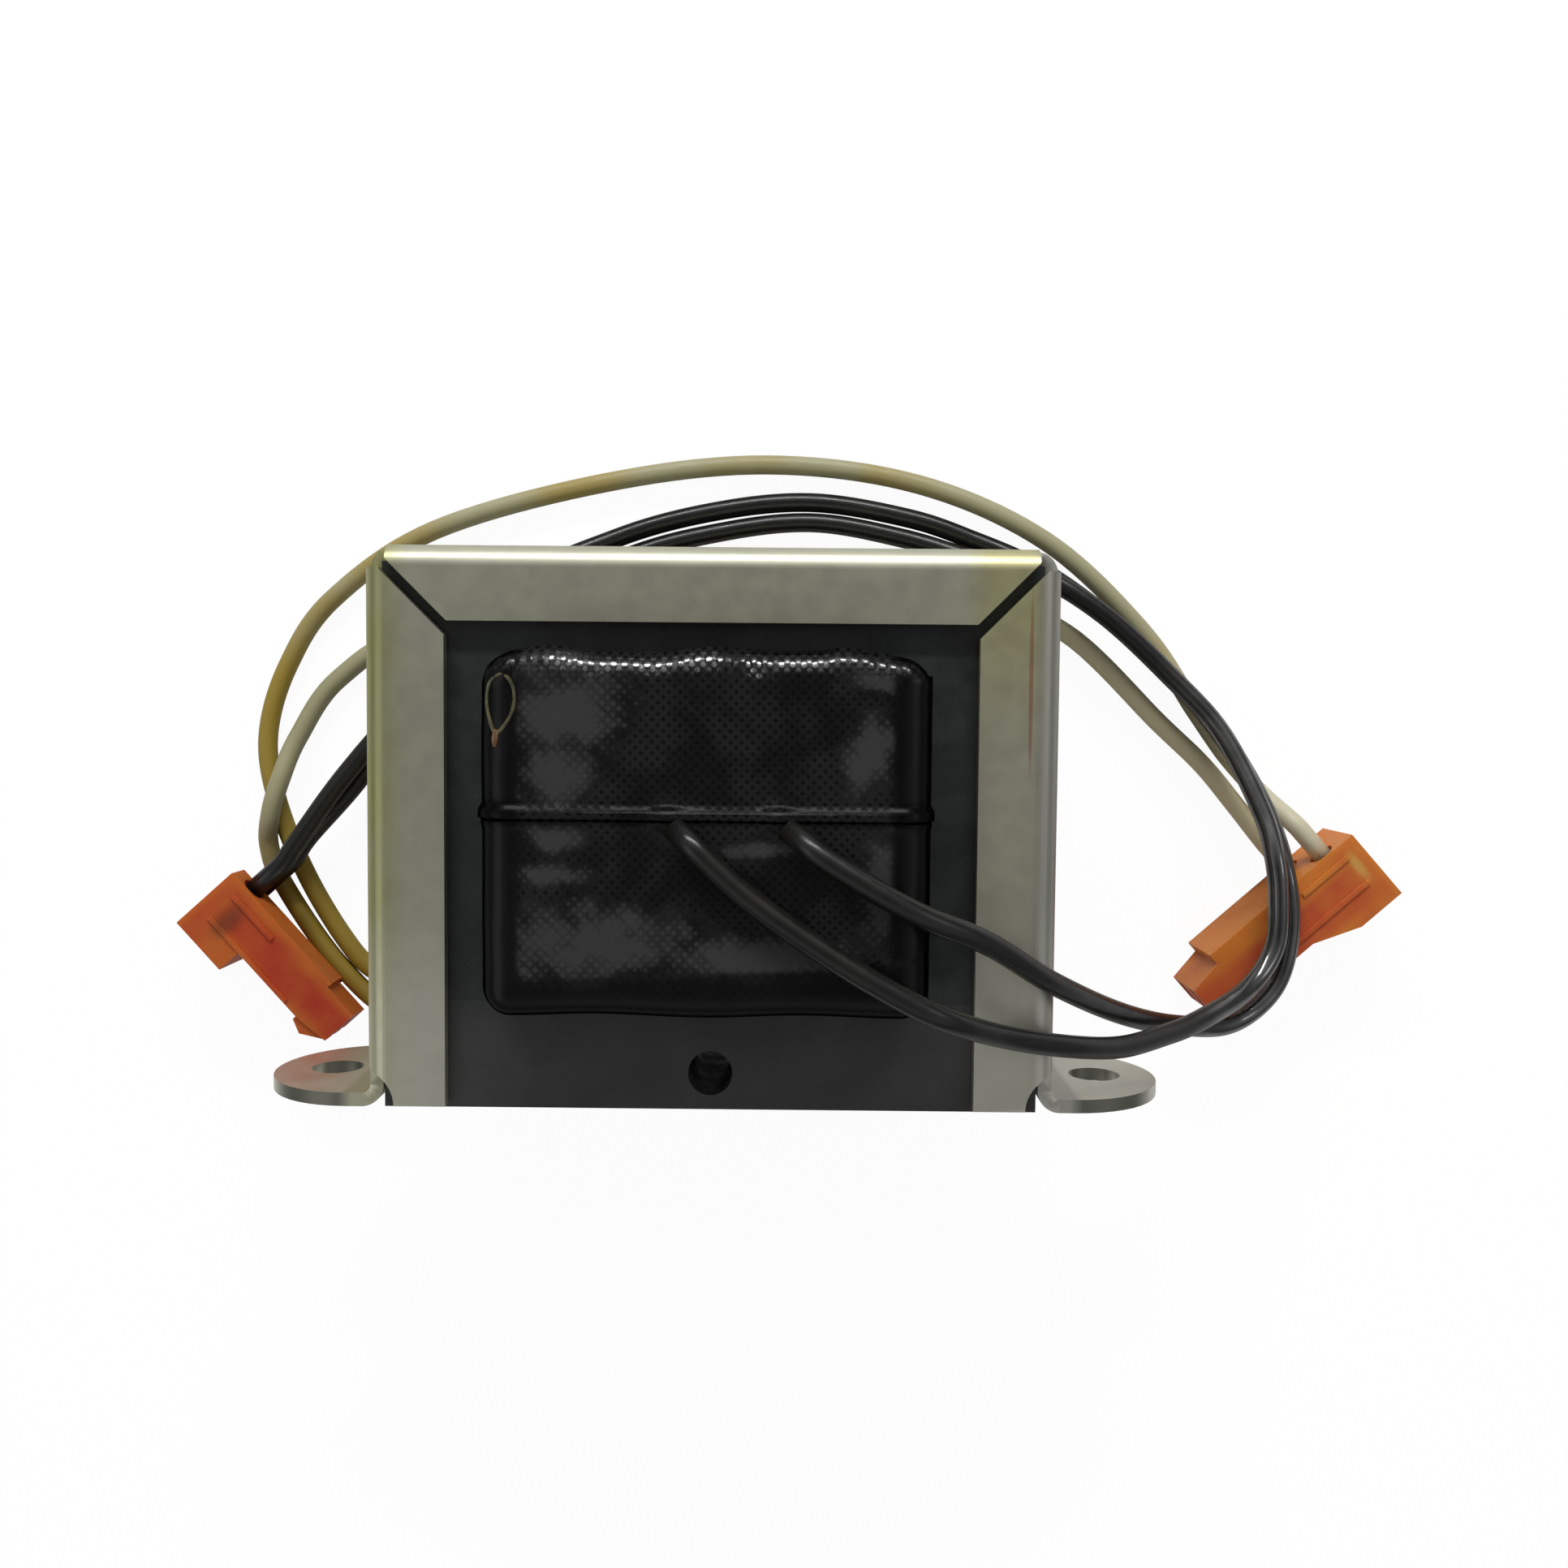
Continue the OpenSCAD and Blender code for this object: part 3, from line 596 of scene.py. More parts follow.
@dataclass(frozen=True)
class TintedNylon:
    """Translucent orange nylon of a housing, with painted shade, deeper red, where it is thin over a dark
    cavity.

    The cavity, edges and spot are placed along and across the housing, from its origin and heading. The
    edges carry painted light, as if lit through the nylon, and on the plug the spot is a painted shadow of
    the crimp barrel inside.
    """

    name: str
    # bright is also the painted light of the edges, and deep also the painted shade over the cavity.
    bright: Colour
    deep: Colour
    origin: tuple[float, float]
    heading: float
    hand: float
    cavity: Range
    # On the plug the spot is a painted shadow of the crimp barrel inside; on the socket it is a yellow patch
    # near its end.
    spot: Patch
    spot_colour: Colour
    soft: float = 0.7
    mouth: Range = (1.0, 4.5)
    # Painted light along the side and end edges.
    rim_light_side: Range = (0.2, 0.8)
    rim_light_end: Range = (0.2, 0.9)
    cloud: float = 3.0
    mottle: float = 5.0

    def turned_spot(self) -> Patch:
        """The spot, placed in the part's own frame.

        Returns:
            The oval.
        """
        place = Vector((self.spot.x, self.hand * self.spot.y))
        place.rotate(Matrix.Rotation(math.radians(self.heading), 2))
        return Patch(self.origin[0] + place.x, self.origin[1] + place.y, *self.spot[2:4], self.heading)

    def make(self) -> Material:
        """Build the material.

        Returns:
            The material.
        """
        bench = ShaderBench(self.name)
        local = bench.placed(turn=self.heading, shift=(*self.origin, 0.0))
        along = bench.part(local, "X")
        across = bench.times(bench.part(local, "Y"), self.hand)
        walls = []
        # Painted shade: deeper red over the dark cavity.
        for wall, target in zip(self.cavity, (RISING, FALLING)):
            walls.append(bench.spread(across, metres((wall - self.soft, wall + self.soft)), target))
        cloud = bench.spread(bench.grain(self.cloud, 3.0), NOISE_MIDDLE, (0.55, 1.0))
        cavity = bench.times(*walls, cloud, bench.spread(along, metres(self.mouth), (0.2, 1.0)))
        mottled = bench.shades(bench.grain(self.mottle, 1.0), [(0.35, self.bright), (0.95, self.deep)])
        colour = bench.blend(cavity, mottled, self.deep)
        # The spot, which on the plug is a painted shadow of the crimp barrel inside.
        near = bench.spread(bench.oval(self.turned_spot()), (0.2, 1.3), (0.65, 0.0))
        colour = bench.blend(near, colour, self.spot_colour)
        # Painted light along the edges, as if lit through the nylon.
        side = bench.spread(across, metres(self.rim_light_side), (0.8, 0.0))
        end = bench.spread(along, metres(self.rim_light_end), (0.8, 0.0))
        bench.feed("Base Color", bench.blend(bench.most(side, end), colour, self.bright))
        bench.roughen(2.0, 2.0, (0.3, 0.42))
        bench.feed("Normal", bench.relief(bench.grain(2.5, 1.0), 0.04, 0.12))
        bench.fix(Subsurface_Weight=0.35, Subsurface_Radius=(1.0, 0.35, 0.12), Subsurface_Scale=1.5 * MM)
        bench.fix(Specular_IOR_Level=0.3, Transmission_Weight=0.12)
        return bench.material


@dataclass(frozen=True)
class PlainMetal:
    """Drawn or tinned metal with a streaky surface."""

    name: str
    dull: Colour
    bright: Colour
    roughness: Range

    def make(self) -> Material:
        """Build the material.

        Returns:
            The material.
        """
        bench = ShaderBench(self.name)
        streak = bench.grain(0.5, 3.0, bench.placed(stretch=(0.2, 1.0, 1.0)))
        bench.feed("Base Color", bench.shades(streak, [(0.3, self.dull), (0.7, self.bright)]))
        bench.feed("Roughness", bench.spread(streak, NOISE_MIDDLE, self.roughness))
        bench.feed("Normal", bench.relief(streak, 0.02, 0.3))
        bench.fix(Metallic=1.0)
        return bench.material


@dataclass(frozen=True)
class WoundCopper:
    """Rows of enamelled copper wire, dark between the turns and bright on them: painted shade and painted
    highlight.
    """

    dark: Colour = (0.3, 0.09, 0.03)
    bright: Colour = (0.62, 0.26, 0.1)
    pitch: float = 0.35

    def make(self) -> Material:
        """Build the material.

        Returns:
            The material.
        """
        bench = ShaderBench("wound_copper")
        rows = bench.bands(self.pitch, bench.where.outputs["Object"], "Y", 0.2)
        # Painted shade between the turns and painted highlight on them, in the same bands as the bump.
        bench.feed("Base Color", bench.shades(rows, [(0.1, self.dark), (0.8, self.bright)]))
        bench.roughen(1.0, 3.0, (0.22, 0.4))
        bench.feed("Normal", bench.relief(rows, 0.12, 0.8))
        bench.fix(Metallic=1.0)
        return bench.material


@dataclass(frozen=True)
class AmberVarnish:
    """Run of clear amber varnish that has pooled and set."""

    name: str = "amber_varnish"
    thin: Colour = (0.26, 0.13, 0.05)
    thick: Colour = (0.2, 0.07, 0.02)
    clear: float = 0.3

    def make(self) -> Material:
        """Build the material.

        Returns:
            The material.
        """
        bench = ShaderBench(self.name)
        bench.feed("Base Color", bench.shades(bench.grain(1.0, 2.0), [(0.3, self.thin), (0.75, self.thick)]))
        bench.roughen(0.7, 3.0, (0.06, 0.2))
        bench.feed("Normal", bench.relief(bench.grain(0.5), 0.03, 0.4))
        bench.fix(Transmission_Weight=self.clear, IOR=1.5, Coat_Weight=0.5)
        return bench.material


class Finishes:
    """Every finish of the transformer, made once."""

    def __init__(self) -> None:
        """Make the materials."""
        self.zinc = ZincSheet().make()
        self.core = CorePaint().make()
        self.core_bar = CorePaint("core_bar_paint", (0.0195, 0.023, 0.0225), (0.038, 0.0425, 0.0415)).make()
        self.bobbin = CorePaint("bobbin_moulding", (0.03, 0.022, 0.016), (0.06, 0.045, 0.03)).make()
        self.cloth = VarnishedCloth().make()
        self.black = LeadCover(
            "black_cover", (0.009, 0.009, 0.0085), (0.02, 0.019, 0.016), (0.27, 0.36), glossy_x=(44.0, 50.0)
        ).make()
        cream, gold, worn = (0.42, 0.395, 0.235), (0.4, 0.28, 0.04), (0.42, 0.56)
        # Both cream leads get painted light on their right-hand stretch.
        self.gold_cream = LeadCover(
            "cream_cover_a", cream, gold, worn, (25.0, 13.0), (40.0, 58.0), (0.7, 0.65, 0.46)
        ).make()
        self.cream = LeadCover("cream_cover_b", cream, gold, worn, (-4.0, -9.0), (24.0, 34.0)).make()
        self.plug = TintedNylon(
            "plug_nylon", (0.72, 0.185, 0.03), (0.6, 0.058, 0.022),
            origin=(-50.2, -6.5), heading=-48.0, hand=-1.0, cavity=(1.2, 4.4),
            # The plug's spot is a painted shadow of the crimp barrel inside.
            spot=Patch(3.4, 3.6, 1.3, 2.5), spot_colour=(0.17, 0.05, 0.02),
        ).make()
        self.socket = TintedNylon(
            "socket_nylon", (0.84, 0.28, 0.045), (0.66, 0.105, 0.035),
            origin=(64.0, -1.5), heading=-138.5, hand=1.0, cavity=(2.2, 6.6),
            spot=Patch(1.6, 2.9, 0.6, 1.9), spot_colour=(0.8, 0.55, 0.14),
        ).make()
        self.contact = PlainMetal("tinned_brass", (0.45, 0.38, 0.24), (0.72, 0.66, 0.5), (0.25, 0.42)).make()
        self.copper = WoundCopper().make()
        self.amber = AmberVarnish().make()
        self.olive = AmberVarnish("olive_varnish", (0.2, 0.185, 0.075), (0.05, 0.045, 0.015)).make()


def finished_mesh(name: str, bm: bmesh.types.BMesh) -> Mesh:
    """Smooth-shaded mesh from a work mesh, which is freed.

    Args:
        name: Name of the mesh.
        bm: The work mesh, in metres.

    Returns:
        The mesh.
    """
    mesh = bpy.data.meshes.new(name)
    bm.to_mesh(mesh)
    bm.free()
    mesh.shade_smooth()
    return mesh


def new_object(name: str, mesh: Mesh, material: Material) -> Piece:
    """Put a mesh in the scene as a piece on the root body.

    Args:
        name: Name of the piece.
        mesh: Its mesh, in metres.
        material: Its finish.

    Returns:
        The new object.
    """
    piece = bpy.data.objects.new(name, mesh)
    bpy.context.scene.collection.objects.link(piece)
    mesh.materials.append(material)
    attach(piece, ROOT)
    LOG.info("piece %s: %d faces", name, len(mesh.polygons))
    return piece


def smooth_line(points: Sequence[Vector], per_span: int) -> list[Vector]:
    """Smooth curve through all points but the first and the last, which only steer its ends.

    Args:
        points: Way points.
        per_span: Steps between two points.

    Returns:
        Points on the curve.
    """
    line = []
    for a, b, c, d in zip(points, points[1:], points[2:], points[3:]):
        bend = 2.0 * a - 5.0 * b + 4.0 * c - d
        twist = 3.0 * b - a - 3.0 * c + d
        for t in (step / per_span for step in range(per_span)):
            line.append(0.5 * (2.0 * b + (c - a) * t + bend * t * t + twist * t * t * t))
    return [*line, points[-2]]


def tube_mesh(name: str, line: Sequence[Vector], radii: Sequence[float], sides: int) -> Mesh:
    """Closed round tube along a line.

    Args:
        name: Name of the mesh.
        line: Points on the centre line.
        radii: Radius at each point.
        sides: Points round the tube.

    Returns:
        The mesh, in metres.
    """
    bm = bmesh.new()
    rings = []
    side = Vector((0.0, 0.0, 1.0))
    for i, place in enumerate(line):
        ahead = (line[min(i + 1, len(line) - 1)] - line[max(i - 1, 0)]).normalized()
        side = (side - ahead * side.dot(ahead)).normalized()
        across = ahead.cross(side)
        ring = []
        for j in range(sides):
            angle = math.tau * j / sides
            out = side * math.cos(angle) + across * math.sin(angle)
            ring.append(bm.verts.new((place + out * radii[i]) * MM))
        rings.append(ring)
    for low, high in zip(rings, rings[1:]):
        for j in range(sides):
            k = (j + 1) % sides
            bm.faces.new((low[j], low[k], high[k], high[j]))
    bm.faces.new(list(reversed(rings[0])))
    bm.faces.new(rings[-1])
    return finished_mesh(name, bm)


# Height of the centre line of a lead that lies on the table, and the leads' way points.
TABLE = 1.05
BLACK_A: list[Point] = [
    (-2.5, 1.248, 39.2), (-0.7, -0.452, 40.13), (3.4, -4.2, 40.15), (8.6, -7.9, 40.15),
    (13.8, -11.1, 40.15), (19.1, -13.9, 39.4), (25.1, -16.5, 34.704), (31.33, -18.2, 30.604),
    (36.5, -19.2, 26.4), (41, -19.1, 22.6), (45.7, -18.5, 18.6), (51.8, -16.4, 13.7), (55.1, -12.6, 11.7),
    (55.5, -7.6, 11.4), (55.1, -3.2, 10.9), (54.3, 1.1, 9), (51, 8.8, 5.9), (45.7, 14.6, 5.3),
    (38.9, 20.7, 5.3), (32.3, 24.8, 4.3), (25.5, 26.7, 2.2), (18.2, 28.9, TABLE), (8.8, 30.4, TABLE),
    (-0.9, 29.3, TABLE), (-10.9, 26.5, 1.3), (-22, 20.4, 4), (-32.8, 10.8, 5.05), (-39.3, 3.6, 5.1),
    (-44.2, -3.4, 5.8), (-45.926, -6.016, 6.2), (-49.939, -9.629, 6.2),
]
BLACK_B: list[Point] = [
    (6.5, 1.248, 39.2), (9.1, -0.852, 40.13), (16.5, -5.2, 40.15), (23, -8.2, 37.204),
    (29.53, -12.5, 32.004), (37.5, -16.9, 23.2), (44.8, -19.6, 15.5), (51.1, -20.1, 11.8),
    (55.8, -16.8, 10), (57.4, -11.2, 9.45), (56.8, -5, 9.2), (55.3, 1.3, 6.6), (51.5, 8.8, 3.7),
    (46.3, 14.7, 3.2), (39.4, 20.8, 3.2), (32.7, 25.6, 2), (25.6, 28.8, TABLE), (18.8, 31, TABLE),
    (8.8, 32.5, TABLE), (-1.3, 31.5, TABLE), (-11.7, 28.6, 1.3), (-22.6, 22.9, 3.15), (-33.3, 11.2, 2.8),
    (-38.4, 3.3, 2.75), (-43.9, -3.1, 3), (-45.926, -6.016, 3.15), (-49.939, -9.629, 3.15),
]
CREAM_A: list[Point] = [
    (-17.9, -4.605, 4.8), (-20.6, -7.305, 4.4), (-27.3, -14.5, 2.5), (-33.4, -18.3, 1.45),
    (-37.6, -17.7, TABLE), (-41, -14, TABLE), (-45.1, -6.9, TABLE), (-48.1, 1.1, TABLE),
    (-48.8, 7.8, TABLE), (-46.6, 15, TABLE), (-41.8, 22, TABLE), (-31, 29.3, TABLE), (-13, 34.4, TABLE),
    (4, 36.4, TABLE), (20, 34.5, TABLE), (33.5, 28.7, TABLE), (43.8, 19.4, TABLE), (49.7, 11, TABLE),
    (52.9, 6.5, TABLE), (56.3, 2.3, 2.7), (59.209, -1.065, 6.2), (62.787, -5.11, 6.2),
]
CREAM_B: list[Point] = [
    (-17.9, -8.605, 4.8), (-20.6, -11.505, 4.4), (-27.6, -18.7, 2.4), (-34.9, -22.1, TABLE),
    (-41.3, -17.2, TABLE), (-47.3, -8.5, TABLE), (-48.6, -4.3, 1.75), (-47.9, -0.8, 3.2),
    (-46.9, 2.8, 3.1), (-45.4, 7.4, 1.6), (-41.2, 13.6, TABLE), (-32, 18.8, TABLE), (-11, 21.6, TABLE),
    (11, 22.1, TABLE), (26, 22.3, TABLE), (35.9, 19, TABLE), (45.9, 9.6, TABLE), (50.6, 5.2, TABLE),
    (54.2, 0.9, 1.2), (57.037, -2.987, 2.4), (60.615, -7.031, 2.4),
]


@dataclass
class FlyingLead:
    """One insulated lead from the coil to its housing."""

    name: str
    node: str
    slot: Slot
    route: Sequence[Point]
    diameter: float = 2.0
    per_span: int = 10
    sides: int = 18
    line: list[Vector] = field(default_factory=list, init=False)

    def build(self, material: Material) -> Piece:
        """Sweep the lead along its route.

        Args:
            material: Finish of the insulation.

        Returns:
            The lead.
        """
        stops = [Vector(p) for p in self.route]
        curve = [Vector((p.x, p.y, max(p.z, TABLE))) for p in smooth_line(stops, self.per_span)]
        self.line = [stops[0], *curve, stops[-1]]
        mesh = tube_mesh(self.name, self.line, [self.diameter / 2.0] * len(self.line), self.sides)
        piece = new_object(self.name, mesh, material)
        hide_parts(self.node)
        return piece

    def declare(self, piece: Piece, carried: Sequence[Piece]) -> None:
        """Take no step for the lead, which is a free cord with a connector on its end.

        Args:
            piece: The lead. Not used.
            carried: Housing and contact at its end. Not used.
        """


class GirthPoint(NamedTuple):
    """Point on the outline of the coil, with its outward direction and its distance round."""

    x: float
    z: float
    out_x: float
    out_z: float
    run: float


@dataclass(frozen=True)
class LeadStart:
    """Lump in the cloth where a lead comes out from under it."""

    route: Sequence[Point]
    height: float
    width: float = 1.25
    back: Range = (-3.0, -0.7)
    front: Range = (0.1, 2.3)

    def lift(self, place: Vector) -> float:
        """Height of the lump at a point.

        Args:
            place: The point.

        Returns:
            The height.
        """
        first, second = (Vector(p) for p in self.route[:2])
        heading = (second - first).normalized()
        along = (place - first).dot(heading)
        off = (place - first - heading * along).length
        shape = math.exp(-((off / self.width) ** 2))
        return self.height * shape * (1.0 - ease(*self.front, along)) * ease(*self.back, along)


# Outline of the coil: half its width, its depth and the radius of its long corners.
COIL_HALF_W = 18.4
COIL_DEPTH = 39.05
COIL_CORNER = 2.6


@dataclass
class ClothWrap:
    """Band of varnished cloth round the windings, from the ridge out to one end of the coil."""

    name: str
    node: str
    near_y: float
    far_y: float
    lap: float
    starts: Sequence[LeadStart]
    edge_wave: Pairs
    corner_cut: float = 0.4
    ridge: float = 0.0
    layer_end: Pairs = ()
    beaded: bool = False
    thick: float = 1.4
    end_r: float = 2.0
    core_z: Range = (10.0, 29.05)
    over_core: Range = (0.12, 0.9)
    spacing: Point = (0.15, 0.55, 0.9)
    corner_steps: int = 12
    rows: int = 64
    end_steps: int = 9
    hair: float = 0.01
    lip: float = 0.8
    settle: float = 0.1
    crown: float = 0.1
    seam: float = 0.1
    layer_step: float = 0.2
    pinking: Range = (1.1, 0.45)
    bead_pitch: float = 1.0
    bead_height: Range = (0.08, 0.24)
    bead_start: Range = (3.0, 1.6)
    bead_rise: Range = (-0.3, 0.4)
    front_turn: Range = (0.2, 0.95)
    back_turn: Range = (0.4, 0.95)
    edge_turn: Range = (0.2, 0.9)
    ridge_foot: Range = (0.6, 1.3)
    seam_foot: Range = (0.35, 0.9)
    layer_edge: Range = (-0.12, 0.12)
    fold_turn: Range = (72.0, 90.0)
    deepest: float = -0.12
    broad: Lumps = Lumps(0.09, 6.5, 3.1)
    fine: Lumps = Lumps(0.03, 1.9, 8.4)
    ridge_wander: Lumps = Lumps(0.1, 2.2, 5.0)
    bead_wander: Lumps = Lumps(0.4, 2.2, 1.0)
    bead_patches: Lumps = Lumps(1.0, 5.0, 12.0)
    girth_length: float = field(default=0.0, init=False)

    @property
    def hand(self) -> float:
        """Direction along Y in which the band runs from the ridge."""
        return math.copysign(1.0, self.far_y - self.near_y)

    @property
    def span(self) -> float:
        """Width of the band without its lap."""
        return abs(self.far_y - self.near_y)

    def girth(self) -> list[GirthPoint]:
        """Points round the coil, close together on the front.

        Returns:
            The points, starting at the left end of the front.
        """
        r, w, d = COIL_CORNER, COIL_HALF_W, COIL_DEPTH
        front, side, back = self.spacing
        sides = [
            (Vector((r - w, d)), Vector((w - r, d)), front, 90.0),
            (Vector((w, d - r)), Vector((w, r)), side, 0.0),
            (Vector((w - r, 0.0)), Vector((r - w, 0.0)), back, -90.0),
            (Vector((-w, r)), Vector((-w, d - r)), side, -180.0),
        ]
        points: list[GirthPoint] = []
        run = 0.0
        quarter = math.pi / 2.0 * r
        for start, end, step, turn in sides:
            long = (end - start).length
            count = max(2, round(long / step))
            out = Vector((math.cos(math.radians(turn)), math.sin(math.radians(turn))))
            for share in (i / count for i in range(count)):
                points.append(GirthPoint(*start.lerp(end, share), *out, run + long * share))
            run += long
            centre = end - out * r
            for share in (i / self.corner_steps for i in range(self.corner_steps)):
                angle = math.radians(turn - 90.0 * share)
                out = Vector((math.cos(angle), math.sin(angle)))
                points.append(GirthPoint(*(centre + out * r), *out, run + quarter * share))
            run += quarter
        self.girth_length = run
        return points

    def over_yoke(self, point: GirthPoint) -> float:
        """Share of the lap over the yoke at a point: none inside the windows.

        Args:
            point: Point on the outline.

        Returns:
            The share from 0 to 1.
        """
        low, high = self.core_z
        near, far = self.over_core
        return ease(high + near, high + far, point.z) + ease(low - near, low - far, point.z)

    def edge_shift(self, point: GirthPoint) -> float:
        """Wander of the folded end along the front.

        Args:
            point: Point on the outline.

        Returns:
            Distance past the straight end.
        """
        waves = self.edge_wave
        x = min(waves[-1][0], max(waves[0][0], point.x))
        (x0, y0), (x1, y1) = next(pair for pair in zip(waves, waves[1:]) if x <= pair[1][0])
        return (y0 + (y1 - y0) * ease(x0, x1, x)) * ease(*self.edge_turn, point.out_z)

    def beads(self, place: Vector) -> float:
        """Height of the beads of varnish on the fold.

        Args:
            place: Point on the plain band.

        Returns:
            The height.
        """
        bead = 0.5 + 0.5 * math.sin(math.tau * (place.x + self.bead_wander.at(place)) / self.bead_pitch)
        low, high = self.bead_height
        return (low + (high - low) * ease(*self.bead_rise, self.bead_patches.at(place))) * bead

    def end_of_layer(self, x: float) -> float:
        """Distance from the ridge at which the outer cloth layer ends, with its pinked edge.

        Args:
            x: Place across the coil.

        Returns:
            The distance.
        """
        (x0, y0), (x1, y1) = self.layer_end
        pitch, depth = self.pinking
        saw = abs((x / pitch) % 1.0 - 0.5) * 2.0
        return y0 + (y1 - y0) * (x - x0) / (x1 - x0) + depth * saw

    def swell(self, point: GirthPoint, out: float, reach: float) -> float:
        """Height of the cloth above its plain band.

        Args:
            point: Point on the outline.
            out: Distance from the ridge.
            reach: Distance from the ridge to the end.

        Returns:
            The height.
        """
        place = Vector((point.x, self.near_y + self.hand * out, point.z))
        front = ease(*self.front_turn, point.out_z)
        above = 1.0 - ease(*self.back_turn, -point.out_z)
        high = self.crown * front * (1.0 - (point.x / COIL_HALF_W) ** 2) - self.settle
        high += self.broad.at(place) + self.fine.at(place)
        if self.ridge:
            ridge = self.ridge + self.ridge_wander.at(place)
            high += ridge * (1.0 - ease(*self.ridge_foot, out)) * above
        else:
            high += self.seam * (1.0 - ease(*self.seam_foot, out)) * above
        if self.layer_end and front > 0.0:
            high -= self.layer_step * front * ease(*self.layer_edge, out - self.end_of_layer(point.x))
        if self.beaded:
            first, full = self.bead_start
            high += self.beads(place) * front * ease(reach - first, reach - full, out)
        high += max(start.lift(place) for start in self.starts)
        return max(high * above, self.deepest)

    def section(self, point: GirthPoint) -> list[tuple[float, float]]:
        """Closed section of the band at a point of the outline.

        Args:
            point: Point on the outline.

        Returns:
            Pairs of distance from the ridge and height above the plain band.
        """
        share = self.over_yoke(point)
        reach = self.span + self.lap * share - 2.0 * self.hair * (1.0 - share)
        reach += self.edge_shift(point) - self.corner_cut * share * (1.0 - ease(0.0, 0.97, point.out_z))
        flat = reach - self.end_r
        outs = [flat * i / self.rows for i in range(self.rows + 1)]
        pairs = [(out, self.swell(point, out, reach)) for out in outs]
        in_window, over_yoke = self.fold_turn
        last = math.radians(in_window + (over_yoke - in_window) * share)
        for i in range(1, self.end_steps + 1):
            angle = last * i / self.end_steps
            out = flat + self.end_r * math.sin(angle)
            high = self.swell(point, out, reach) * (1.0 - i / self.end_steps)
            pairs.append((out, high - self.end_r * (1.0 - math.cos(angle))))
        end_out, end_high = pairs[-1]
        lip = -self.thick + self.hair - (self.lip - self.hair) * share
        inner = self.span + 0.1 * share - 0.3 * (1.0 - share)
        pairs.append((end_out - 6.0 * self.hair, min(end_high - self.hair, lip)))
        pairs.append((inner, lip - self.hair / 2.0))
        return pairs + [(out, -self.thick) for out in (inner - 2.0 * self.hair, inner / 2.0, 0.0)]

    def build(self, material: Material) -> Piece:
        """Loft the band round the coil.

        Args:
            material: Finish of the cloth.

        Returns:
            The wrap.
        """
        points = self.girth()
        bm = bmesh.new()
        layer = bm.loops.layers.uv.new("cloth")
        rings = []
        for point in points:
            ring = []
            for out, high in self.section(point):
                x, z = point.x + point.out_x * high, point.z + point.out_z * high
                ring.append((bm.verts.new(Vector((x, self.near_y + self.hand * out, z)) * MM), out))
            rings.append(ring)
        runs = [*(point.run for point in points), self.girth_length]
        for i, ring in enumerate(rings):
            after = rings[(i + 1) % len(rings)]
            for j in range(len(ring)):
                k = (j + 1) % len(ring)
                here, there = runs[i], runs[i + 1]
                corners = [(ring[j], here), (after[j], there), (after[k], there), (ring[k], here)]
                if self.hand < 0.0:
                    corners.reverse()
                face = bm.faces.new([corner[0][0] for corner in corners])
                for loop, ((_, out), run) in zip(face.loops, corners):
                    loop[layer].uv = (run * MM, out * MM)
        bmesh.ops.recalc_face_normals(bm, faces=bm.faces)
        piece = new_object(self.name, finished_mesh(self.name, bm), material)
        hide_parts(self.node)
        return piece


@dataclass
class VarnishRun:
    """Bead of set varnish on the shoulder of the cloth, either a closed ring or a tapered drip."""

    name: str
    outline: Pairs
    radius: float
    closed: bool = True
    sunk: float = 0.06
    thin_end: float = 0.35
    taper: Range = (0.15, 0.95)
    per_span: int = 8
    sides: int = 12
    uneven: Lumps = Lumps(0.3, 0.9, 2.0)

    def on_shoulder(self, x: float, y: float) -> Vector:
        """Point on the shoulder of the cloth.

        Args:
            x: Place across the coil.
            y: Place along the coil.

        Returns:
            The point on the surface.
        """
        off = max(0.0, abs(x) - (COIL_HALF_W - COIL_CORNER))
        rise = math.sqrt(max(0.0, COIL_CORNER**2 - off**2))
        return Vector((x, y, COIL_DEPTH - COIL_CORNER + rise - self.sunk))

    def build(self, material: Material) -> Piece:
        """Sweep the bead along its outline.

        Args:
            material: Finish of the varnish.

        Returns:
            The bead.
        """
        stops = [self.on_shoulder(*p) for p in self.outline]
        if self.closed:
            stops = [stops[-1], *stops, *stops[:2]]
        else:
            stops = [2 * stops[0] - stops[1], *stops, 2 * stops[-1] - stops[-2]]
        line = smooth_line(stops, self.per_span)
        radii = [self.radius * (1.0 + self.uneven.at(place)) for place in line]
        if not self.closed:
            start, end = self.taper
            shares = [start + (end - start) * i / len(line) for i in range(len(line))]
            swells = [self.thin_end + (1.0 - self.thin_end) * math.sin(math.pi * share) for share in shares]
            radii = [radius * swell for radius, swell in zip(radii, swells)]
        return new_object(self.name, tube_mesh(self.name, line, radii, self.sides), material)


class PunchedHole(NamedTuple):
    """Hole along Y, with a reach a little past its rim."""

    x: float
    z: float
    reach: float

    def holds(self, place: Vector) -> bool:
        """Whether a point in metres lies in the hole or on its rim."""
        return math.hypot(place.x / MM - self.x, place.z / MM - self.z) < self.reach


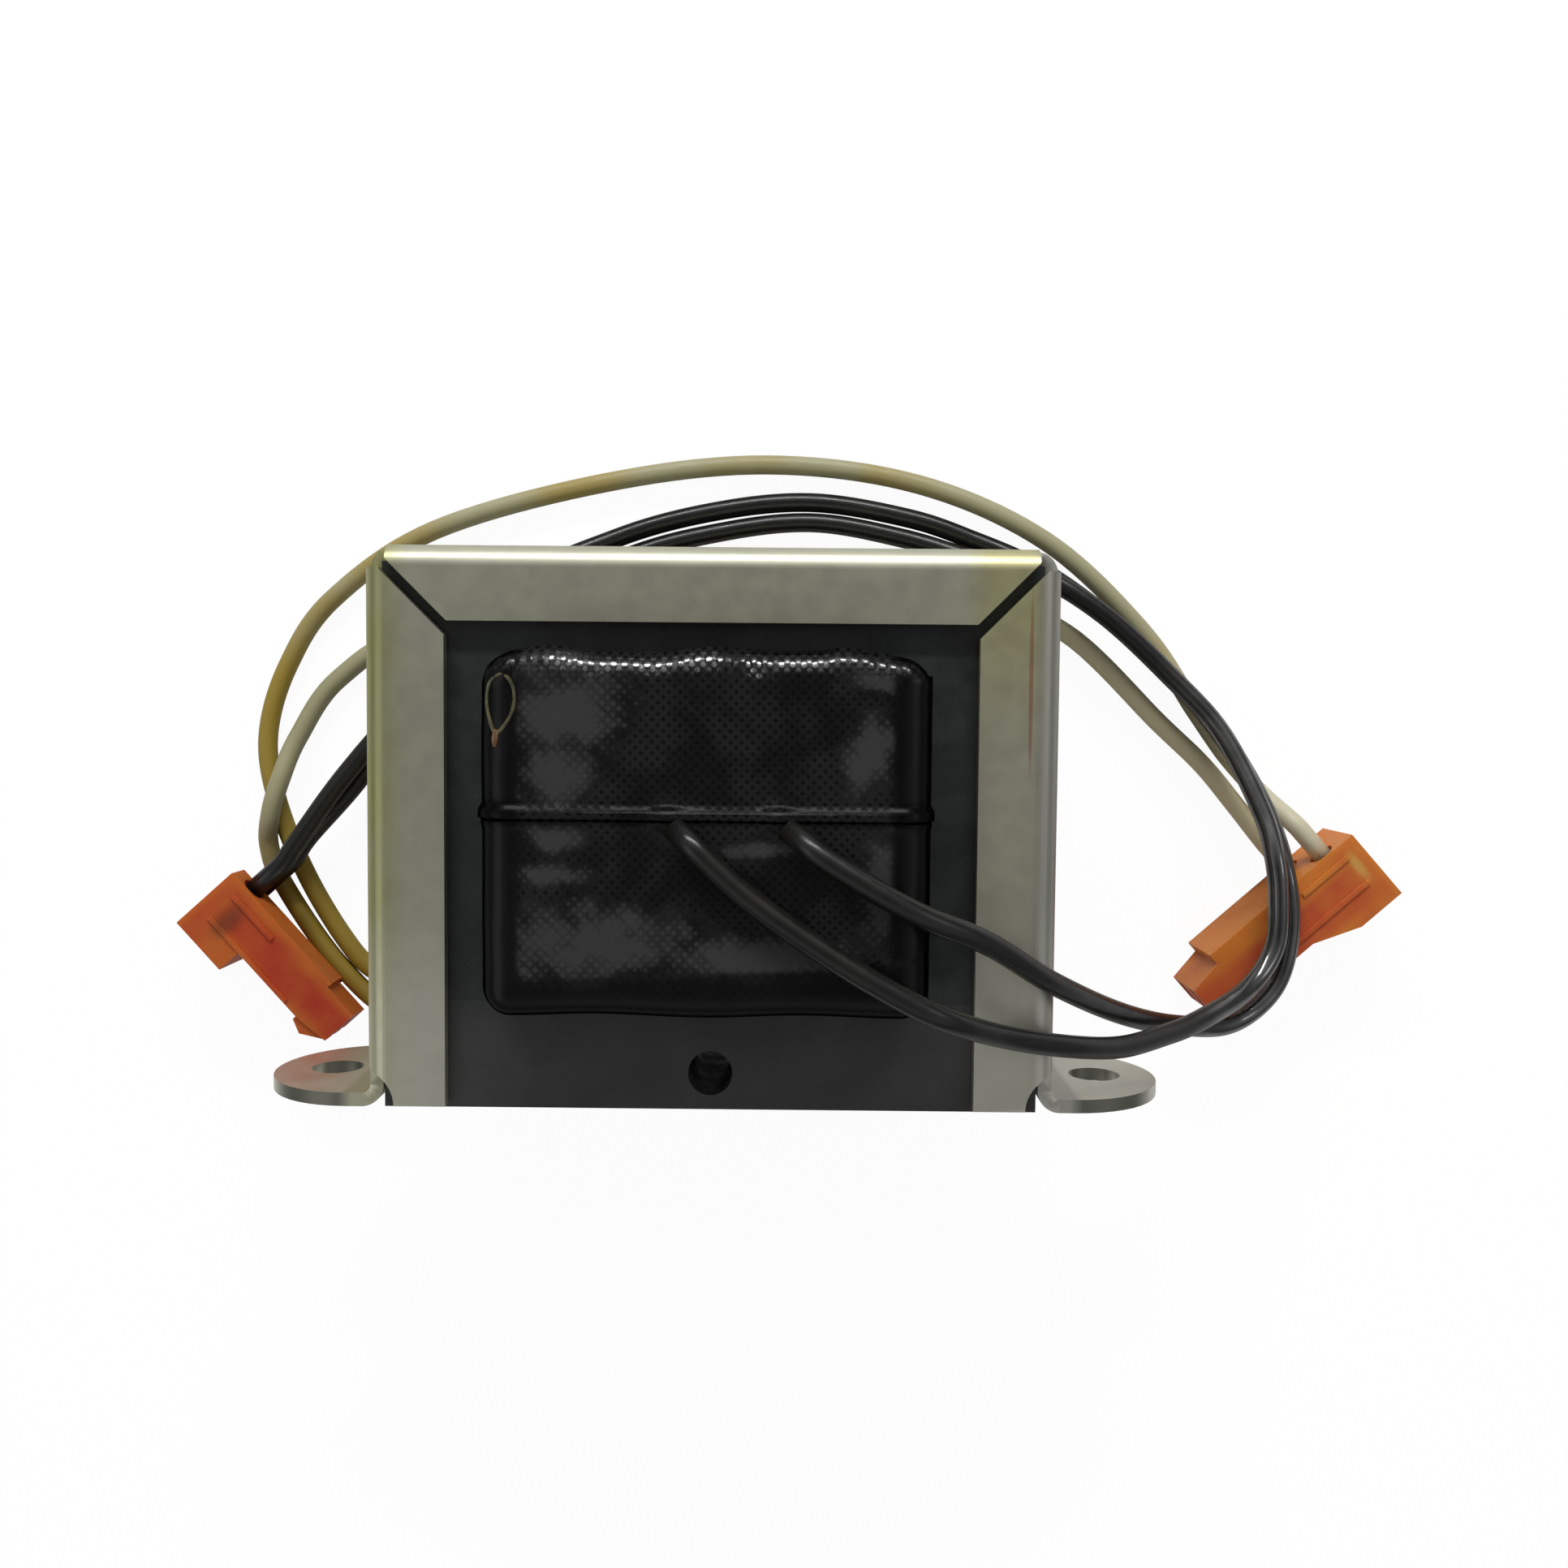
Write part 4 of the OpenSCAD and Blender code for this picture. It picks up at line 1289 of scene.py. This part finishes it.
@dataclass
class EasedPart:
    """Copy of a rigid node with its sharp edges broken, apart from the rims of punched holes."""

    name: str
    node: str
    slot: Slot
    edge: float
    steps: int = 2
    holes: Sequence[PunchedHole] = ()
    weld: float = 0.002
    flat_angle: float = 0.6
    sharp_angle: float = 32.0
    crease_angle: float = 50.0

    def is_sharp(self, edge: bmesh.types.BMEdge) -> bool:
        """Whether an edge is one to break.

        Args:
            edge: The edge.

        Returns:
            True for a sharp edge that isn't the rim of a hole.
        """
        if not edge.is_manifold or edge.calc_face_angle(0.0) <= math.radians(self.sharp_angle):
            return False
        return not any(all(hole.holds(v.co) for v in edge.verts) for hole in self.holes)

    def build(self, material: Material) -> Piece:
        """Break the edges of the node's shape.

        Args:
            material: Finish of the part.

        Returns:
            The part.
        """
        bm = bmesh.new()
        bm.from_mesh(bpy.data.objects[self.node].data)
        bmesh.ops.remove_doubles(bm, verts=bm.verts, dist=self.weld * MM)
        flat = math.radians(self.flat_angle)
        bmesh.ops.dissolve_limit(bm, angle_limit=flat, verts=bm.verts, edges=bm.edges)
        bmesh.ops.bevel(
            bm, geom=[e for e in bm.edges if self.is_sharp(e)], offset=self.edge * MM, offset_type="OFFSET",
            segments=self.steps, profile=0.5, affect="EDGES", clamp_overlap=True, loop_slide=True,
        )
        bmesh.ops.triangulate(bm, faces=[f for f in bm.faces if len(f.verts) > 4])
        mesh = finished_mesh(self.name, bm)
        mesh.set_sharp_from_angle(angle=math.radians(self.crease_angle))
        piece = new_object(self.name, mesh, material)
        even = piece.modifiers.new("even_normals", "WEIGHTED_NORMAL")
        even.keep_sharp = True
        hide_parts(self.node)
        return piece


class Lamp(NamedTuple):
    """Soft rectangular lamp that points at the part."""

    name: str
    place: Point
    size: tuple[float, float]
    watts: float

    def hang(self) -> None:
        """Put the lamp in the scene."""
        data = bpy.data.lights.new(self.name, "AREA")
        data.shape = "RECTANGLE"
        data.size, data.size_y = metres(self.size)
        data.energy = self.watts
        lamp = bpy.data.objects.new(self.name, data)
        lamp.location = Vector(self.place) * MM
        aim = Vector((0.0, 0.0, 20.0)) - Vector(self.place)
        lamp.rotation_euler = aim.to_track_quat("-Z", "Y").to_euler()
        bpy.context.scene.collection.objects.link(lamp)


@dataclass
class Studio:
    """Table, soft lights and camera."""

    eye: Point = (6.754, 10.665, 151.792)
    lens: float = 32.52
    sensor: float = 36.0
    pitch: float = 3.0
    roll: float = -0.009
    yaw: float = -0.004
    clip: Range = (5.0, 20000.0)
    table_size: float = 1600.0
    table_gap: float = 0.05
    table_glow: float = 1.05
    glow_share: float = 0.9
    # Height in the sky from 0 at the horizon to 1 overhead, and how bright it is there.
    sky_stops: Pairs = (
        (0.0, 0.08), (0.3, 0.16), (0.5, 0.44), (0.7, 0.46), (0.84, 0.3), (0.94, 0.24), (0.975, 0.14),
        (0.99, 0.05),
    )
    lamps: Sequence[Lamp] = (
        Lamp("roof_strip", (0.0, 440.0, 260.0), (400.0, 40.0), 1.6),
        Lamp("left_panel", (-440.0, -120.0, 380.0), (300.0, 300.0), 0.15),
        Lamp("right_panel", (460.0, 100.0, 340.0), (120.0, 120.0), 0.1),
    )

    def camera(self) -> None:
        """Place the camera straight above the part, as the photograph was taken."""
        turn = (
            Matrix.Rotation(self.roll, 3, "Z")
            @ Matrix.Rotation(self.yaw, 3, "Y")
            @ Matrix.Rotation(math.radians(self.pitch), 3, "X")
        )
        data = bpy.data.cameras.new("camera")
        data.lens = self.lens
        data.sensor_width = self.sensor
        data.clip_start, data.clip_end = metres(self.clip)
        camera = bpy.data.objects.new("camera", data)
        camera.matrix_world = Matrix.Translation(Vector(self.eye) * MM) @ turn.transposed().to_4x4()
        bpy.context.scene.collection.objects.link(camera)
        bpy.context.scene.camera = camera

    def table_white(self) -> Material:
        """White that the camera sees almost evenly lit, also through the housings.

        Returns:
            The material.
        """
        bench = ShaderBench("table_white")
        bench.fix(Base_Color=(0.9, 0.9, 0.9), Roughness=0.9, Specular_IOR_Level=0.1)
        rays = bench.nodes.new("ShaderNodeLightPath").outputs
        share = bench.times(bench.most(rays["Is Camera Ray"], rays["Is Transmission Ray"]), self.glow_share)
        glow = bench.node("Emission", "Emission", {"Strength": self.table_glow})
        mixed = bench.node("MixShader", "Shader", {0: share, 1: bench.shader.outputs["BSDF"], 2: glow})
        bench.links.new(mixed, bench.nodes["Material Output"].inputs["Surface"])
        return bench.material

    def table(self) -> None:
        """Lay the white table under the part."""
        bm = bmesh.new()
        bmesh.ops.create_grid(bm, x_segments=8, y_segments=8, size=self.table_size * MM / 2.0)
        floor = bpy.data.objects.new("table", finished_mesh("table", bm))
        floor.location.z = -self.table_gap * MM
        bpy.context.scene.collection.objects.link(floor)
        floor.data.materials.append(self.table_white())

    def sky(self) -> None:
        """Surround the part with a soft bright ring high up, dark overhead and dim at the sides."""
        world = bpy.data.worlds.new("studio")
        world.use_nodes = True
        bpy.context.scene.world = world
        nodes, links = world.node_tree.nodes, world.node_tree.links
        where = nodes.new("ShaderNodeTexCoord")
        axis = nodes.new("ShaderNodeSeparateXYZ")
        ramp = nodes.new("ShaderNodeValToRGB")
        fill_ramp(ramp.color_ramp, [(place, (grey, grey, grey)) for place, grey in self.sky_stops])
        links.new(where.outputs["Generated"], axis.inputs["Vector"])
        links.new(axis.outputs["Z"], ramp.inputs["Fac"])
        links.new(ramp.outputs["Color"], nodes["Background"].inputs["Color"])

    def lights(self) -> None:
        """Light the sky and hang the lamps: a strip behind the roof and broad ones at the sides."""
        self.sky()
        for lamp in self.lamps:
            lamp.hang()


def dress_node(node: str, material: Material) -> None:
    """Give a shown CAD node its finish.

    Args:
        node: Name of the node.
        material: Its finish.
    """
    mesh = bpy.data.objects[node].data
    mesh.materials.clear()
    mesh.materials.append(material)
    LOG.info("node %s dressed", node)


@dataclass
class Transformer:
    """The whole part: leads, frame, wrapped coil, housings and the nodes shown as they are."""

    finishes: Finishes
    frame_edge: float = 0.16
    foot_holes: Sequence[PunchedHole] = (PunchedHole(-35.72, 19.525, 2.6), PunchedHole(35.72, 19.525, 2.6))
    housing_edge: float = 0.28
    housing_steps: int = 3
    black_lump: float = 0.7
    cream_lump: float = 0.6
    top_wave: Pairs = (
        (-17.4, -0.3), (-12.9, 0.3), (-8.2, -0.2), (-4.7, -0.3), (0.8, 0.3), (2.4, 0.15), (5.6, 0.0),
        (9.0, 0.05), (10.9, 0.3), (17.0, -0.5),
    )
    bottom_wave: Pairs = ((-16.0, 0.1), (-9.0, -0.1), (0.0, 0.15), (8.0, -0.1), (16.0, 0.1))
    layer_end: Pairs = ((-14.8, 13.2), (0.8, 12.1))
    ring: Pairs = (
        (-16.2, 13.3), (-15.4, 12.5), (-15.25, 11.0), (-15.7, 9.7), (-16.7, 8.6), (-17.3, 9.8),
        (-17.55, 11.3), (-17.2, 12.7),
    )
    ring_radius: float = 0.16
    drip: Pairs = ((-16.7, 8.9), (-16.75, 8.4), (-16.8, 7.9), (-16.8, 7.5))
    drip_radius: float = 0.3
    contacts: Sequence[str] = (
        "plug_upper_contact", "plug_lower_contact", "socket_upper_contact", "socket_lower_contact",
    )

    def lay_leads(self) -> list[tuple[FlyingLead, Piece]]:
        """Lay the four leads.

        Returns:
            Each lead with its piece.
        """
        leads = [
            FlyingLead("lead_black_a", "black_lead_a", Slot.BLACK, BLACK_A),
            FlyingLead("lead_black_b", "black_lead_b", Slot.BLACK, BLACK_B),
            FlyingLead("lead_cream_a", "cream_lead_a", Slot.CREAM, CREAM_A),
            FlyingLead("lead_cream_b", "cream_lead_b", Slot.CREAM, CREAM_B),
        ]
        covers = (self.finishes.black, self.finishes.black, self.finishes.gold_cream, self.finishes.cream)
        return [(lead, lead.build(cover)) for lead, cover in zip(leads, covers)]

    def fold_frame(self) -> None:
        """Break the edges of the channel frame, all but the rims of the punched hole in each foot."""
        frame = EasedPart("folded_frame", "channel_frame", Slot.ZINC, self.frame_edge, holes=self.foot_holes)
        frame.build(self.finishes.zinc)

    def wrap_coil(self) -> None:
        """Wrap the coil in cloth and run the varnish down its shoulder."""
        starts = [LeadStart(route, self.black_lump) for route in (BLACK_A, BLACK_B)]
        starts += [LeadStart(route, self.cream_lump) for route in (CREAM_A, CREAM_B)]
        upper = ClothWrap(
            "upper_cloth", "upper_wrap", near_y=1.7478, far_y=13.5103, lap=1.9, starts=starts,
            edge_wave=self.top_wave, corner_cut=1.3, ridge=0.32, beaded=True,
        )
        lower = ClothWrap(
            "lower_cloth", "lower_wrap", near_y=1.6478, far_y=-13.6147, lap=0.75, starts=starts,
            edge_wave=self.bottom_wave, layer_end=self.layer_end,
        )
        for wrap in (upper, lower):
            wrap.build(self.finishes.cloth)
        VarnishRun("varnish_ring", self.ring, self.ring_radius).build(self.finishes.olive)
        VarnishRun("varnish_drip", self.drip, self.drip_radius, closed=False).build(self.finishes.amber)

    def fit_housings(self) -> list[Piece]:
        """Fit the housings to the ends of the leads.

        Returns:
            The plug and the socket.
        """
        housings = []
        for kind, material in (("plug", self.finishes.plug), ("socket", self.finishes.socket)):
            name, node = f"{kind}_moulding", f"{kind}_housing"
            housing = EasedPart(name, node, Slot.NYLON, self.housing_edge, self.housing_steps)
            housings.append(housing.build(material))
        return housings

    def dress_nodes(self) -> None:
        """Give the core, the bobbin, the windings and the contacts their finishes."""
        dress_node("e_laminations", self.finishes.core)
        dress_node("i_laminations", self.finishes.core_bar)
        dress_node("bobbin", self.finishes.bobbin)
        for node in ("upper_winding", "lower_winding"):
            dress_node(node, self.finishes.copper)
        for node in self.contacts:
            dress_node(node, self.finishes.contact)

    def build(self) -> None:
        """Lay the leads, break the frame's edges, wrap the coil and fit the housings."""
        leads = self.lay_leads()
        self.fold_frame()
        self.wrap_coil()
        plug, socket = self.fit_housings()
        self.dress_nodes()
        housings = ([plug], [], [socket], [])
        for (lead, piece), housing, contact in zip(leads, housings, self.contacts):
            lead.declare(piece, [*housing, bpy.data.objects[contact]])


def main() -> None:
    """Load the frame, dress the transformer and set up the studio."""
    logging.basicConfig(level=logging.INFO, format="%(name)s: %(message)s")
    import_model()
    bpy.context.scene.view_settings.view_transform = "Standard"
    studio = Studio()
    studio.camera()
    Transformer(Finishes()).build()
    studio.table()
    studio.lights()
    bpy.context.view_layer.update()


if __name__ == "__main__":
    main()
